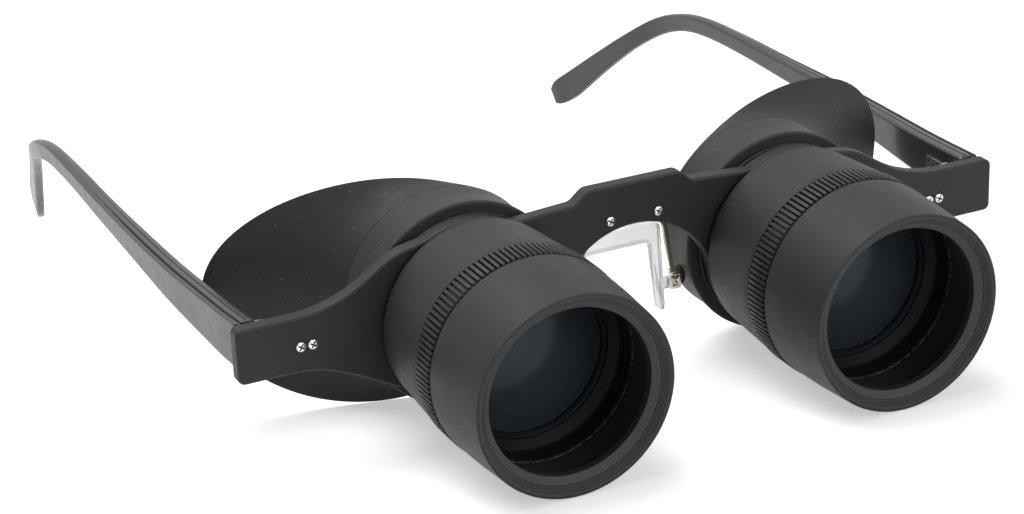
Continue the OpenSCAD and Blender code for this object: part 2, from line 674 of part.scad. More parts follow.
// Half section of the eyecup in direction a: [distance from the axis, distance behind the plate]
function cup_section(a) =
    let (reach = rim_reach(a), y = rim_y(reach * cos(a)), front = bead_front_y + face_gap,
        bead_r = flange_r - bead_groove + seat_fit, in_r = flange_r + seat_fit,
        seam = [cup_seam_r, cup_seam_y], rim = [reach, y],
        pull = seam + [0.25 * (reach - cup_seam_r), 0.62 * (y - cup_seam_y)],
        wall = cup_wall, n = 6)
    concat(
        [[bead_r, front], [cup_collar_r - 0.4, front], [cup_collar_r, front + 0.5],
            [(cup_collar_r + cup_seam_r) / 2 - 0.2, (front + cup_seam_y) / 2]],
        [for (i = [0:n]) let (s = i / n) (1 - s) * (1 - s) * seam + 2 * s * (1 - s) * pull + s * s * rim],
        [rim + [-0.4 * wall, 0.5 * wall], rim + [-wall, 0.3 * wall]],
        [for (i = [n - 1:-1:0]) let (s = i / n)
            (1 - s) * (1 - s) * (seam + [-wall, 0.8]) + 2 * s * (1 - s) * (pull + [-wall, 0.6])
                + s * s * (rim + [-wall, 0])],
        [[in_r + 0.2, flange_back_y + 0.6], [in_r, flange_back_y - 0.4], [in_r, bead_front_y + bead_w - seat_fit],
            [bead_r, bead_front_y + bead_w - seat_fit]]);

module eyecup(side) {
    count = 72;
    turn = side == right ? right_cup_turn : left_cup_turn;
    color("#1a1a1b") on_side(side) translate([axis_x, 0, 0]) rotate([0, -turn, 0])
        skin([for (i = [0:count - 1]) let (a = i * 360 / count)
            [for (p = cup_section(a)) [p.x * cos(a), p.y, p.x * sin(a)]]], closed = true);
}

module temple(side) {
    rings = temple_rings(side);
    color("#37373a") on_side(side) difference() {
        skin([for (i = [temple_last:-1:0]) rings[i]]);
        translate([temple_inner_x - through, pin_y - seat_fit, hinge_z - leaf_half_h - seat_fit])
            cube([leaf_t + through + seat_fit, temple_leaf_len + 2 * seat_fit, 2 * (leaf_half_h + seat_fit)]);
    }
}

// One knuckle of the hinge, drawn round the pin, with an arm that reaches along dir
module knuckle(level, arm) {
    bottom = hinge_z + (level - 1.5) * knuckle_h + (level == 1 ? knuckle_gap : 0);
    height = knuckle_h - (level == 1 ? 2 * knuckle_gap : 0);
    translate([pin_x, pin_y, bottom]) difference() {
        union() {
            cylinder(r = knuckle_r, h = height, $fn = 48);
            translate([arm[0].x, arm[0].y, 0]) cube([arm[1].x, arm[1].y, height]);
        }
        translate([0, 0, -through])
            cylinder(r = hinge_screw_r + (level == 1 ? run_fit : seat_fit), h = height + 2 * through,
                $fn = 48);
    }
}

module frame_leaf(side) {
    color("#a9abad") on_side(side) {
        difference() {
            translate([pin_x - frame_leaf_len, plate_t, hinge_z - hinge_h / 2])
                cube([frame_leaf_len - knuckle_r + leaf_t, leaf_t, hinge_h]);
            for (x = hinge_rivet_xs) rivet_hole(x, rivet_z);
        }
        for (level = [0, 2]) knuckle(level, [[-knuckle_r, -hinge_back], [leaf_t, hinge_back]]);
    }
}

module temple_leaf(side) {
    color("#a9abad") on_side(side) {
        knuckle(1, [[0, 0], [temple_inner_x - pin_x + leaf_t, knuckle_r]]);
        translate([temple_inner_x, pin_y, hinge_z - leaf_half_h])
            cube([leaf_t, temple_leaf_len, 2 * leaf_half_h]);
    }
}

module hinge_screw(side) {
    bottom = hinge_z - hinge_h / 2;
    top = hinge_z + hinge_h / 2;
    head_r = hinge_screw_r * 1.9;
    color("#c9cacc") on_side(side) translate([pin_x, pin_y, 0]) difference() {
        turned([[0, bottom], [hinge_screw_r, bottom], [hinge_screw_r, top], [head_r, top],
            [head_r, top + 0.5], [head_r - 0.25, top + 0.7], [0, top + 0.7]], 48);
        translate([-head_r - 1, -0.15, top + 0.35]) cube([2 * head_r + 2, 0.3, 1]);
    }
}

module hinge_rivets(side) {
    color("#d6d7d8") placed() for (x = hinge_rivet_xs) rivet(side * x, rivet_z, leaf_t);
}

module nose_rivets() {
    color("#d6d7d8") placed() for (side = [left, right]) rivet(side * arm_rivet_x, arm_rivet_z, arm_t);
}

// Nose arm: a riveted tab, a strip and the pad box
module nose_arm(side) {
    tab_r = rivet_r + 1.1;
    roll_z = -box_drop + box_h / 2 + roll_r / 2;
    strip_end = [box_x - 0.4, box_y - arm_d / 2, roll_z + 0.3];
    color("#c4c2b8") on_side(side) {
        difference() {
            union() {
                translate([arm_rivet_x, plate_t + arm_t, arm_rivet_z]) rotate([90, 0, 0])
                    cylinder(r = tab_r, h = arm_t, $fn = 48);
                hull() {
                    arm_cut([arm_rivet_x, plate_t, arm_rivet_z], 2 * arm_w, arm_t);
                    arm_cut([arm_bend.x, plate_t, arm_bend.y], arm_w, arm_t);
                }
                hull() {
                    arm_cut([arm_bend.x, plate_t, arm_bend.y], arm_w, arm_t);
                    arm_cut(strip_end, arm_w, arm_d);
                }
            }
            rivet_hole(arm_rivet_x, arm_rivet_z);
        }
        pad_box();
        translate([box_x - box_w / 2, box_y, roll_z]) rotate([0, 90, 0])
            cylinder(r = roll_r, h = box_w, $fn = 32);
    }
}

// Thin level slice of the arm, w wide and d deep, at a point on its front face
module arm_cut(at, w, d) {
    slice_h = 0.6;
    translate([at.x - w / 2, at.y, at.z - slice_h / 2]) cube([w, d, slice_h]);
}

module pad_box() {
    difference() {
        translate([box_x - box_w / 2, box_y - box_d / 2, -box_drop - box_h / 2]) cube([box_w, box_d, box_h]);
        translate([box_x - box_w / 2 - 1, box_y - box_slot / 2, -box_drop - box_h / 2 - 1])
            cube([box_w + 0.3, box_slot, box_h - box_top_t + 1]);
        pad_screw_hole();
    }
}

module pad_screw_hole() {
    translate([box_x, box_y + box_d, pad_screw_z]) rotate([90, 0, 0])
        cylinder(r = pad_screw_r + seat_fit, h = 2 * box_d, $fn = 32);
}

module pad_screws() {
    half = box_d / 2;
    head = pad_screw_r * 2;
    color("#8b887e") for (side = [left, right]) on_side(side)
        translate([box_x, box_y, pad_screw_z]) rotate([90, 0, 0]) turned([
            [0, -half - 0.6], [head - 0.2, -half - 0.6], [head, -half - 0.4], [head, -half],
            [pad_screw_r, -half], [pad_screw_r, half - 0.1], [0, half - 0.1]], 32);
}

// One-piece saddle: a bar and two legs in clear rubber, with a lug into each pad box
module nose_saddle() {
    bar_top = saddle_bar_low + saddle_bar_h;
    lug_start = (saddle_top_half + saddle_foot_half) / 2 - saddle_tip_t;
    outline = [
        [saddle_top_half, bar_top, 2], [saddle_foot_half, -saddle_drop + 1.6, 1.2],
        [saddle_foot_half - 0.1, -saddle_drop, 0.3], [saddle_foot_half - saddle_tip_t, -saddle_drop, 0.3],
        [saddle_top_half - saddle_t, saddle_bar_low, 1.2]];
    lug_t = box_slot - 2 * seat_fit;
    lug_end = box_x + box_w / 2 - 1 + 0.3 - 0.1;
    color("#e6eaec") placed() difference() {
        union() {
            translate([0, box_y + saddle_d / 2, 0]) rotate([90, 0, 0]) linear_extrude(saddle_d)
                polygon(rounded(concat(outline, mirrored(outline)), 4));
            for (side = [left, right]) mirror([side == left ? 1 : 0, 0, 0])
                translate([lug_start, box_y - lug_t / 2, lug_z])
                    cube([lug_end - lug_start, lug_t, lug_h]);
        }
        for (side = [left, right]) mirror([side == left ? 1 : 0, 0, 0]) pad_screw_hole();
    }
}

frame_plate();
barrel(left);  // barrel_left
barrel(right);  // barrel_right
focus_ring(left);  // focus_ring_left
focus_ring(right);  // focus_ring_right
hood(left);  // hood_left
hood(right);  // hood_right
snap_ring(left);  // snap_ring_left
snap_ring(right);  // snap_ring_right
objective_cell(left);  // objective_cell_left
objective_cell(right);  // objective_cell_right
objective_lens(left);  // objective_lens_left
objective_lens(right);  // objective_lens_right
objective_ring(left);  // objective_ring_left
objective_ring(right);  // objective_ring_right
guide_key(left);  // guide_key_left
guide_key(right);  // guide_key_right
eyepiece(left);  // eyepiece_left
eyepiece(right);  // eyepiece_right
eye_lens(left);  // eye_lens_left
eye_lens(right);  // eye_lens_right
eye_lens_ring(left);  // eye_lens_ring_left
eye_lens_ring(right);  // eye_lens_ring_right
eyecup(left);  // eyecup_left
eyecup(right);  // eyecup_right
temple(left);  // temple_left
temple(right);  // temple_right
frame_leaf(left);  // frame_leaf_left
frame_leaf(right);  // frame_leaf_right
temple_leaf(left);  // temple_leaf_left
temple_leaf(right);  // temple_leaf_right
hinge_screw(left);  // hinge_screw_left
hinge_screw(right);  // hinge_screw_right
hinge_rivets(left);  // hinge_rivets_left
hinge_rivets(right);  // hinge_rivets_right
nose_arm(left);  // nose_arm_left
nose_arm(right);  // nose_arm_right
nose_rivets();
pad_screws();
nose_saddle();
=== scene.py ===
"""Looks of the binocular glasses: a spectacle frame that carries two short telescopes.

Sizes in the classes are millimetres: x outward from the middle of the bridge, y behind the
front face of the frame plate and z above the two barrel axes. On a barrel, lengths count
forward from the plate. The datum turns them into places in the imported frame.
"""

import logging
import math
from dataclasses import dataclass
from enum import Enum
from typing import Callable, Optional, Sequence

import bmesh
import bpy
from mathutils import Matrix, Vector
from mathutils.geometry import tessellate_polygon


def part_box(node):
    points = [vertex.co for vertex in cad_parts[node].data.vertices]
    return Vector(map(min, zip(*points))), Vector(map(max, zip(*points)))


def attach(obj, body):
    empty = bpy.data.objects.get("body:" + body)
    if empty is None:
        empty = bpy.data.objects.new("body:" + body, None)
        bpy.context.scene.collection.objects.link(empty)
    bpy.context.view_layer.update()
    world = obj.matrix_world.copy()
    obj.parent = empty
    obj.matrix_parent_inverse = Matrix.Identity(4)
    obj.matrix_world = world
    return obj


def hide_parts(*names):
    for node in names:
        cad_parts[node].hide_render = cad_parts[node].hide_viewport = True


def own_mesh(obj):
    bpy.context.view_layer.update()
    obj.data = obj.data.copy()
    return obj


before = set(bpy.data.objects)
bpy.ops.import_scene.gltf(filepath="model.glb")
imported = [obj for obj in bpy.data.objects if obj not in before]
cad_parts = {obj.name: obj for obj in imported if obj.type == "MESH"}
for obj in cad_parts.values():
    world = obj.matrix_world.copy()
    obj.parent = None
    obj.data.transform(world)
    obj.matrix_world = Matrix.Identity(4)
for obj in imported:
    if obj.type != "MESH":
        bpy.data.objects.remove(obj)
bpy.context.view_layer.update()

MM = 0.001
# An edge of a new piece stays sharp from the first angle in degrees, and tumbled metal is
# broken from the second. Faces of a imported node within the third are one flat.
CREASE = 38.0
BREAK_ANGLE = 32.0
FLAT_ANGLE = 0.6
# Metres under which points of a new piece are one, an edge is nothing, points of a packed
# node are one and a point lies in a face.
WELD = 1.5e-6
SLIVER = 1e-6
NODE_WELD = 2e-6
LEVEL_GAP = 5e-6
# Radians from which a corner counts as straight, and the shares of an edge that a fillet and
# the point holding the flat beside it may take.
STRAIGHT = 3.1
FILLET_SHARE = 0.45
HOLD_SHARE = 0.49
# How far the rounding of a slab's edge is held, in radii, and how much longer than the rest
# an inset may get at a corner.
EDGE_HOLD = 1.25
MAX_STRETCH = 2.0
# Bevel of a lens's rim, and how many specks of dust there may be to a millimetre.
LENS_BEVEL = 0.1
DUST_SCALE = 0.7
WHITE = (1.0, 1.0, 1.0, 1.0)
Colour = tuple[float, float, float]
Point = tuple[float, float]
Corner = tuple[float, float, float]
log = logging.getLogger("binocular_glasses")


class Side(Enum):
    """The two sides of the glasses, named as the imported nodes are."""

    LEFT = -1
    RIGHT = 1

    @property
    def tag(self) -> str:
        """The side's word in node names."""
        return self.name.lower()

    def node(self, stem: str) -> str:
        """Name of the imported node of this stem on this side."""
        return f"{stem}_{self.tag}"


@dataclass(frozen=True)
class Datum:
    """Where the maker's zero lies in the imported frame, in metres."""

    plate_front: float
    axis_height: float
    axis_reach: float

    @classmethod
    def from_frame(cls) -> "Datum":
        """Reads the zero from the plate and the right barrel.

        Returns:
            The datum.
        """
        plate_low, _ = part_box("frame_plate")
        low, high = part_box("barrel_right")
        return cls(plate_low.y, (low.z + high.z) / 2, (low.x + high.x) / 2)

    def at(self, x: float, y: float, z: float) -> Vector:
        """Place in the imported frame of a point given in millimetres.

        Args:
            x: distance from the middle.
            y: distance behind the plate's front face.
            z: height above the barrel axes.

        Returns:
            The point in metres.
        """
        return Vector((x * MM, self.plate_front + y * MM, self.axis_height + z * MM))

    def barrel_origin(self, side: Side) -> Vector:
        """Point of a barrel's axis in the plate's front face."""
        return Vector((side.value * self.axis_reach, self.plate_front, self.axis_height))


DATUM = Datum.from_frame()


def rounded(
    corners: Sequence[Corner], steps: int = 5, hold: float = 0.07, even: bool = False
) -> list[Point]:
    """Rounds the corners of a closed outline and keeps the flats beside them true.

    Args:
        corners: the outline as first and second coordinate and fillet radius.
        steps: number of pieces in each fillet.
        hold: distance from a fillet to the point that holds the flat beside it.
        even: whether every fillet has the same number of points, however small it is.

    Returns:
        The points of the rounded outline.
    """
    out: list[Point] = []
    count = len(corners)
    for i, (u, v, fillet) in enumerate(corners):
        here = Vector((u, v))
        back = Vector(corners[i - 1][:2]) - here
        ahead = Vector(corners[(i + 1) % count][:2]) - here
        if fillet <= 0 or (back.angle(ahead) > STRAIGHT and not even):
            out.append((u, v))
            continue
        half = back.angle(ahead) / 2
        reach = min(fillet / math.tan(half), FILLET_SHARE * back.length, FILLET_SHARE * ahead.length)
        to_back, to_ahead = back.normalized(), ahead.normalized()
        middle = here + (to_back + to_ahead).normalized() * reach / math.cos(half)
        first, last = here + to_back * reach - middle, here + to_ahead * reach - middle
        sweep = math.atan2(first.x * last.y - first.y * last.x, first.dot(last))
        if even or back.length > 2 * (reach + hold):
            out.append(tuple(here + to_back * min(reach + hold, HOLD_SHARE * back.length)))
        for k in range(steps + 1):
            a = sweep * k / steps
            c, s = math.cos(a), math.sin(a)
            out.append((middle.x + first.x * c - first.y * s, middle.y + first.x * s + first.y * c))
        if even or ahead.length > 2 * (reach + hold):
            out.append(tuple(here + to_ahead * min(reach + hold, HOLD_SHARE * ahead.length)))
    return out


def smooth_through(knots: Sequence[Sequence[float]], t: float) -> list[float]:
    """Point on the smooth curve through the knots, which leans on two knots each way.

    Args:
        knots: points of equal length.
        t: place along the curve, counted in knots.

    Returns:
        The point's coordinates.
    """
    last = len(knots) - 1
    i = min(int(t), last - 1)
    s = t - i
    a, b, c, d = (knots[max(i - 1, 0)], knots[i], knots[i + 1], knots[min(i + 2, last)])
    return [
        0.5 * (
            2 * q + (r - p) * s + (2 * p - 5 * q + 4 * r - w) * s * s + (3 * q - p - 3 * r + w) * s ** 3
        )
        for p, q, r, w in zip(a, b, c, d)
    ]


def skin(rows: Sequence[Sequence[Vector]], wrap: bool = False, cap: bool = False) -> bmesh.types.BMesh:
    """Lays faces over rings of points that have equal counts.

    Args:
        rows: the rings, each closed on itself.
        wrap: whether the last ring joins the first.
        cap: whether the first and the last ring are filled.

    Returns:
        The new mesh data.
    """
    bm = bmesh.new()
    grid = [[bm.verts.new(p) for p in row] for row in rows]
    count = len(grid[0])
    last = len(grid) if wrap else len(grid) - 1
    for i in range(last):
        here, after = grid[i], grid[(i + 1) % len(grid)]
        for j in range(count):
            k = (j + 1) % count
            bm.faces.new((here[j], here[k], after[k], after[j]))
    if cap:
        bm.faces.new(list(reversed(grid[0])))
        bm.faces.new(grid[-1])
    return bm


def finished(bm: bmesh.types.BMesh, name: str, crease: float = CREASE) -> bpy.types.Object:
    """Turns mesh data into an object with clean normals.

    Args:
        bm: the mesh data, which is freed.
        name: name of the new piece.
        crease: angle in degrees from which an edge stays sharp.

    Returns:
        The new object.
    """
    bmesh.ops.remove_doubles(bm, verts=bm.verts, dist=WELD)
    bmesh.ops.dissolve_degenerate(bm, dist=SLIVER, edges=bm.edges)
    bmesh.ops.recalc_face_normals(bm, faces=bm.faces)
    mesh = bpy.data.meshes.new(name)
    bm.to_mesh(mesh)
    bm.free()
    mesh.shade_smooth()
    mesh.set_sharp_from_angle(angle=math.radians(crease))
    piece = bpy.data.objects.new(name, mesh)
    bpy.context.scene.collection.objects.link(piece)
    return piece


def lathe(
    outline: Sequence[Point],
    name: str,
    segments: int = 168,
    angles: Optional[Sequence[float]] = None,
    reshape: Optional[Callable[[float, float, float], Point]] = None,
) -> bpy.types.Object:
    """Turns a closed outline of radius and forward distance about a barrel's axis.

    Args:
        outline: radius and distance in front of the plate, in millimetres.
        name: name of the new piece.
        segments: number of equal steps round the axis.
        angles: the steps themselves in radians, where they aren't equal.
        reshape: moves a point, given its radius, distance and angle.

    Returns:
        The turned piece, with its origin on the axis in the plate's front face.
    """
    turns = angles or [2 * math.pi * i / segments for i in range(segments)]
    rows = []
    for r, f in outline:
        row = []
        for a in turns:
            radius, forward = reshape(r, f, a) if reshape else (r, f)
            row.append(Vector((radius * math.cos(a), -forward, radius * math.sin(a))) * MM)
        rows.append(row)
    return finished(skin(rows, wrap=True), name)


def carve(piece: bpy.types.Object, tool: bpy.types.Object, operation: str) -> None:
    """Joins a tool shape to a piece or cuts it away, and removes the tool.

    Args:
        piece: the mesh that changes.
        tool: the shape that is added or taken away.
        operation: the Boolean modifier's own word.
    """
    modifier = piece.modifiers.new("carve", "BOOLEAN")
    modifier.operation = operation
    modifier.solver = "EXACT"
    modifier.object = tool
    bpy.context.view_layer.update()
    ready = piece.evaluated_get(bpy.context.evaluated_depsgraph_get())
    mesh = bpy.data.meshes.new_from_object(ready)
    piece.modifiers.clear()
    old, piece.data = piece.data, mesh
    mesh.name = piece.name
    bpy.data.meshes.remove(old)
    bpy.data.objects.remove(tool)
    mesh.set_sharp_from_angle(angle=math.radians(CREASE))


def cut_block(piece: bpy.types.Object, middle: Vector, size: Vector) -> None:
    """Cuts a plain block out of a piece.

    Args:
        piece: the mesh that is cut.
        middle: the block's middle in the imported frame, in metres.
        size: its lengths along the three axes, in metres.
    """
    tool = bmesh.new()
    place = Matrix.Translation(middle) @ Matrix.Diagonal((*size, 1.0))
    bmesh.ops.create_cube(tool, size=1.0, matrix=place)
    carve(piece, finished(tool, "block_tool"), "DIFFERENCE")


def node_shape(node: str) -> bmesh.types.BMesh:
    """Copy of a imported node's mesh with its flat faces whole again.

    Args:
        node: name of the node.

    Returns:
        The copy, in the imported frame.
    """
    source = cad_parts[node]
    bm = bmesh.new()
    bm.from_mesh(source.data)
    bm.transform(source.matrix_world)
    bmesh.ops.remove_doubles(bm, verts=bm.verts, dist=NODE_WELD)
    bmesh.ops.dissolve_limit(bm, angle_limit=math.radians(FLAT_ANGLE), verts=bm.verts, edges=bm.edges)
    return bm


def softened(node: str, name: str, width: float) -> bpy.types.Object:
    """A node's own shape with its edges broken, as tumbled metal has them.

    Args:
        node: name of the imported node.
        name: name of the new piece.
        width: width of the broken edge in millimetres.

    Returns:
        The new piece.
    """
    bm = node_shape(node)
    limit = math.radians(BREAK_ANGLE)
    edges = [e for e in bm.edges if len(e.link_faces) == 2 and e.calc_face_angle(0) > limit]
    bmesh.ops.bevel(
        bm, geom=edges, offset=width * MM, segments=3, profile=0.5, affect="EDGES", clamp_overlap=True
    )
    return finished(bm, name)


def slab(
    loops: Sequence[Sequence[Point]], depth: tuple[float, float], edge: float, name: str, steps: int = 4
) -> bpy.types.Object:
    """A plate with holes whose front and back edges are rounded.

    Args:
        loops: closed outlines of x and z in millimetres, the outer one first.
        depth: distances behind the plate's front face of the slab's two faces.
        edge: radius of the rounded edges.
        name: name of the new piece.
        steps: number of pieces in each rounded edge.

    Returns:
        The new piece.
    """
    front, back = depth
    hold = edge * EDGE_HOLD
    turn = [math.pi / 2 * k / steps for k in range(steps + 1)]
    rings = [(hold, front)]
    rings += [(edge * (1 - math.sin(a)), front + edge * (1 - math.cos(a))) for a in turn]
    rings += [(0.0, front + hold), (0.0, back - hold)]
    rings += [(edge * (1 - math.cos(a)), back - edge * (1 - math.sin(a))) for a in turn]
    rings += [(hold, back)]
    bm = bmesh.new()
    faces: list[list[list[bmesh.types.BMVert]]] = [[], []]
    for index, loop in enumerate(loops):
        inward = inset_directions(loop, hole=index > 0)
        rows = []
        for inset, y in rings:
            rows.append([
                bm.verts.new(DATUM.at(p[0] + d.x * inset, y, p[1] + d.y * inset))
                for p, d in zip(loop, inward)
            ])
        for here, after in zip(rows, rows[1:]):
            for j in range(len(loop)):
                k = (j + 1) % len(loop)
                bm.faces.new((here[j], here[k], after[k], after[j]))
        faces[0].append(rows[0])
        faces[1].append(rows[-1])
    for sheets in faces:
        flat = [v for ring in sheets for v in ring]
        outlines = [[Vector((v.co.x, v.co.z, 0)) for v in ring] for ring in sheets]
        for tri in tessellate_polygon(outlines):
            if len(set(tri)) == 3:
                bm.faces.new([flat[i] for i in tri])
    return finished(bm, name)


def inset_directions(loop: Sequence[Point], hole: bool) -> list[Vector]:
    """Directions that lead from a loop's points into the material, one unit deep.

    Args:
        loop: the closed outline.
        hole: whether the material lies outside the loop.

    Returns:
        One direction a point, longer at corners so that the inset stays even.
    """
    count = len(loop)
    area = sum(loop[i - 1][0] * loop[i][1] - loop[i][0] * loop[i - 1][1] for i in range(count))
    sign = 1 if (area > 0) != hole else -1
    out = []
    for i in range(count):
        here = Vector(loop[i])
        a = (here - Vector(loop[i - 1])).normalized()
        b = (Vector(loop[(i + 1) % count]) - here).normalized()
        left = Vector((-a.y - b.y, a.x + b.x)) * sign
        bisector = left.normalized() if left.length > 1e-6 else Vector((-a.y, a.x)) * sign
        stretch = max(bisector.dot(Vector((-a.y, a.x)) * sign), 1 / MAX_STRETCH)
        out.append(bisector / stretch)
    return out


def front_loops(node: str) -> list[list[Point]]:
    """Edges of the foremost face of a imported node, which is flat.

    Args:
        node: name of the node.

    Returns:
        Closed outlines of x and z in millimetres from the datum, the longest first.
    """
    low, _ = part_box(node)
    bm = node_shape(node)
    flat = [f for f in bm.faces if all(abs(v.co.y - low.y) < LEVEL_GAP for v in f.verts)]
    chosen = set(flat)
    after = {}
    for f in flat:
        for loop in f.loops:
            if not any(g in chosen and g is not f for g in loop.edge.link_faces):
                after[loop.vert] = loop.link_loop_next.vert
    out = []
    while after:
        start = next(iter(after))
        ring = []
        v = start
        while v in after:
            ring.append((v.co.x / MM, (v.co.z - DATUM.axis_height) / MM))
            v = after.pop(v)
        out.append(ring)
    bm.free()
    return sorted(out, key=girth, reverse=True)


def girth(loop: Sequence[Point]) -> float:
    """Length round a closed outline."""
    return sum(math.dist(loop[i - 1], loop[i]) for i in range(len(loop)))


class Tree:
    """A shader node tree with short calls to add and join nodes."""

    def __init__(self, tree: bpy.types.NodeTree) -> None:
        """Starts on an empty tree."""
        self.tree = tree
        self.tree.nodes.clear()

    def add(self, kind: str, inputs: Optional[dict] = None, **settings: object) -> bpy.types.Node:
        """Adds a node.

        Args:
            kind: the node's type name without its ShaderNode prefix.
            inputs: a socket or a value for each named or numbered input.
            settings: the node's own properties.

        Returns:
            The node.
        """
        node = self.tree.nodes.new(kind if kind.startswith("Node") else "ShaderNode" + kind)
        for key, value in settings.items():
            setattr(node, key, value)
        for key, value in (inputs or {}).items():
            if isinstance(value, bpy.types.NodeSocket):
                self.tree.links.new(value, node.inputs[key])
            else:
                node.inputs[key].default_value = value
        return node

    def math(self, operation: str, a: object, b: object = 0.0, clamp: bool = False) -> bpy.types.NodeSocket:
        """Result of one sum on two values or sockets."""
        return self.add("Math", {0: a, 1: b}, operation=operation, use_clamp=clamp).outputs[0]

    def span(self, value: object, low: float, high: float, to: Point = (0.0, 1.0)) -> bpy.types.NodeSocket:
        """Maps a value from one range to another with a smooth foot and shoulder."""
        inputs = {"Value": value, "From Min": low, "From Max": high, "To Min": to[0], "To Max": to[1]}
        return self.add("MapRange", inputs, interpolation_type="SMOOTHSTEP").outputs[0]

    def blend(self, amount: object, a: object, b: object) -> bpy.types.NodeSocket:
        """Mixes two colours.

        Args:
            amount: share of the second colour, as a value or a socket.
            a: the first colour or its socket.
            b: the second colour or its socket.

        Returns:
            The mixed colour's socket.
        """
        node = self.add("Mix", data_type="RGBA")
        for key, value in ((0, amount), (6, a), (7, b)):
            if isinstance(value, bpy.types.NodeSocket):
                self.tree.links.new(value, node.inputs[key])
            else:
                node.inputs[key].default_value = value if key == 0 else (*value, 1.0)
        return node.outputs[2]

    def place(self) -> bpy.types.NodeSocket:
        """The point on the surface, in millimetres from the piece's origin."""
        coordinates = self.add("TexCoord").outputs["Object"]
        return self.add("VectorMath", {0: coordinates, 1: (1000.0,) * 3}, operation="MULTIPLY").outputs[0]

    def effect(self, effect: "Effect", **values: float) -> dict[str, bpy.types.NodeSocket]:
        """Places a shared effect in this tree.

        Args:
            effect: the effect.
            values: value of each named input.

        Returns:
            The effect's output sockets by name.
        """
        node = self.tree.nodes.new("ShaderNodeGroup")
        node.node_tree = Effects.get(effect)
        for key, value in values.items():
            node.inputs[key].default_value = value
        return dict(node.outputs.items())

    def seen_plainly(self) -> bpy.types.NodeSocket:
        """1 where the camera sees a surface by itself, in a gloss or through glass.

        Returns:
            The socket of the share, 0 or 1.
        """
        path = self.add("LightPath").outputs
        indirect = self.math("MAXIMUM", path["Is Glossy Ray"], path["Is Transmission Ray"])
        return self.math("MAXIMUM", path["Is Camera Ray"], indirect)


class Effect(Enum):
    """The effects that several finishes share."""

    GRAIN = "moulded grain"
    HANDLING = "handling marks"
    EDGE = "worn and painted highlight edges"
    DUST = "dust specks"
    TURNING = "turning lines"
    BRUSHING = "brushed lines"


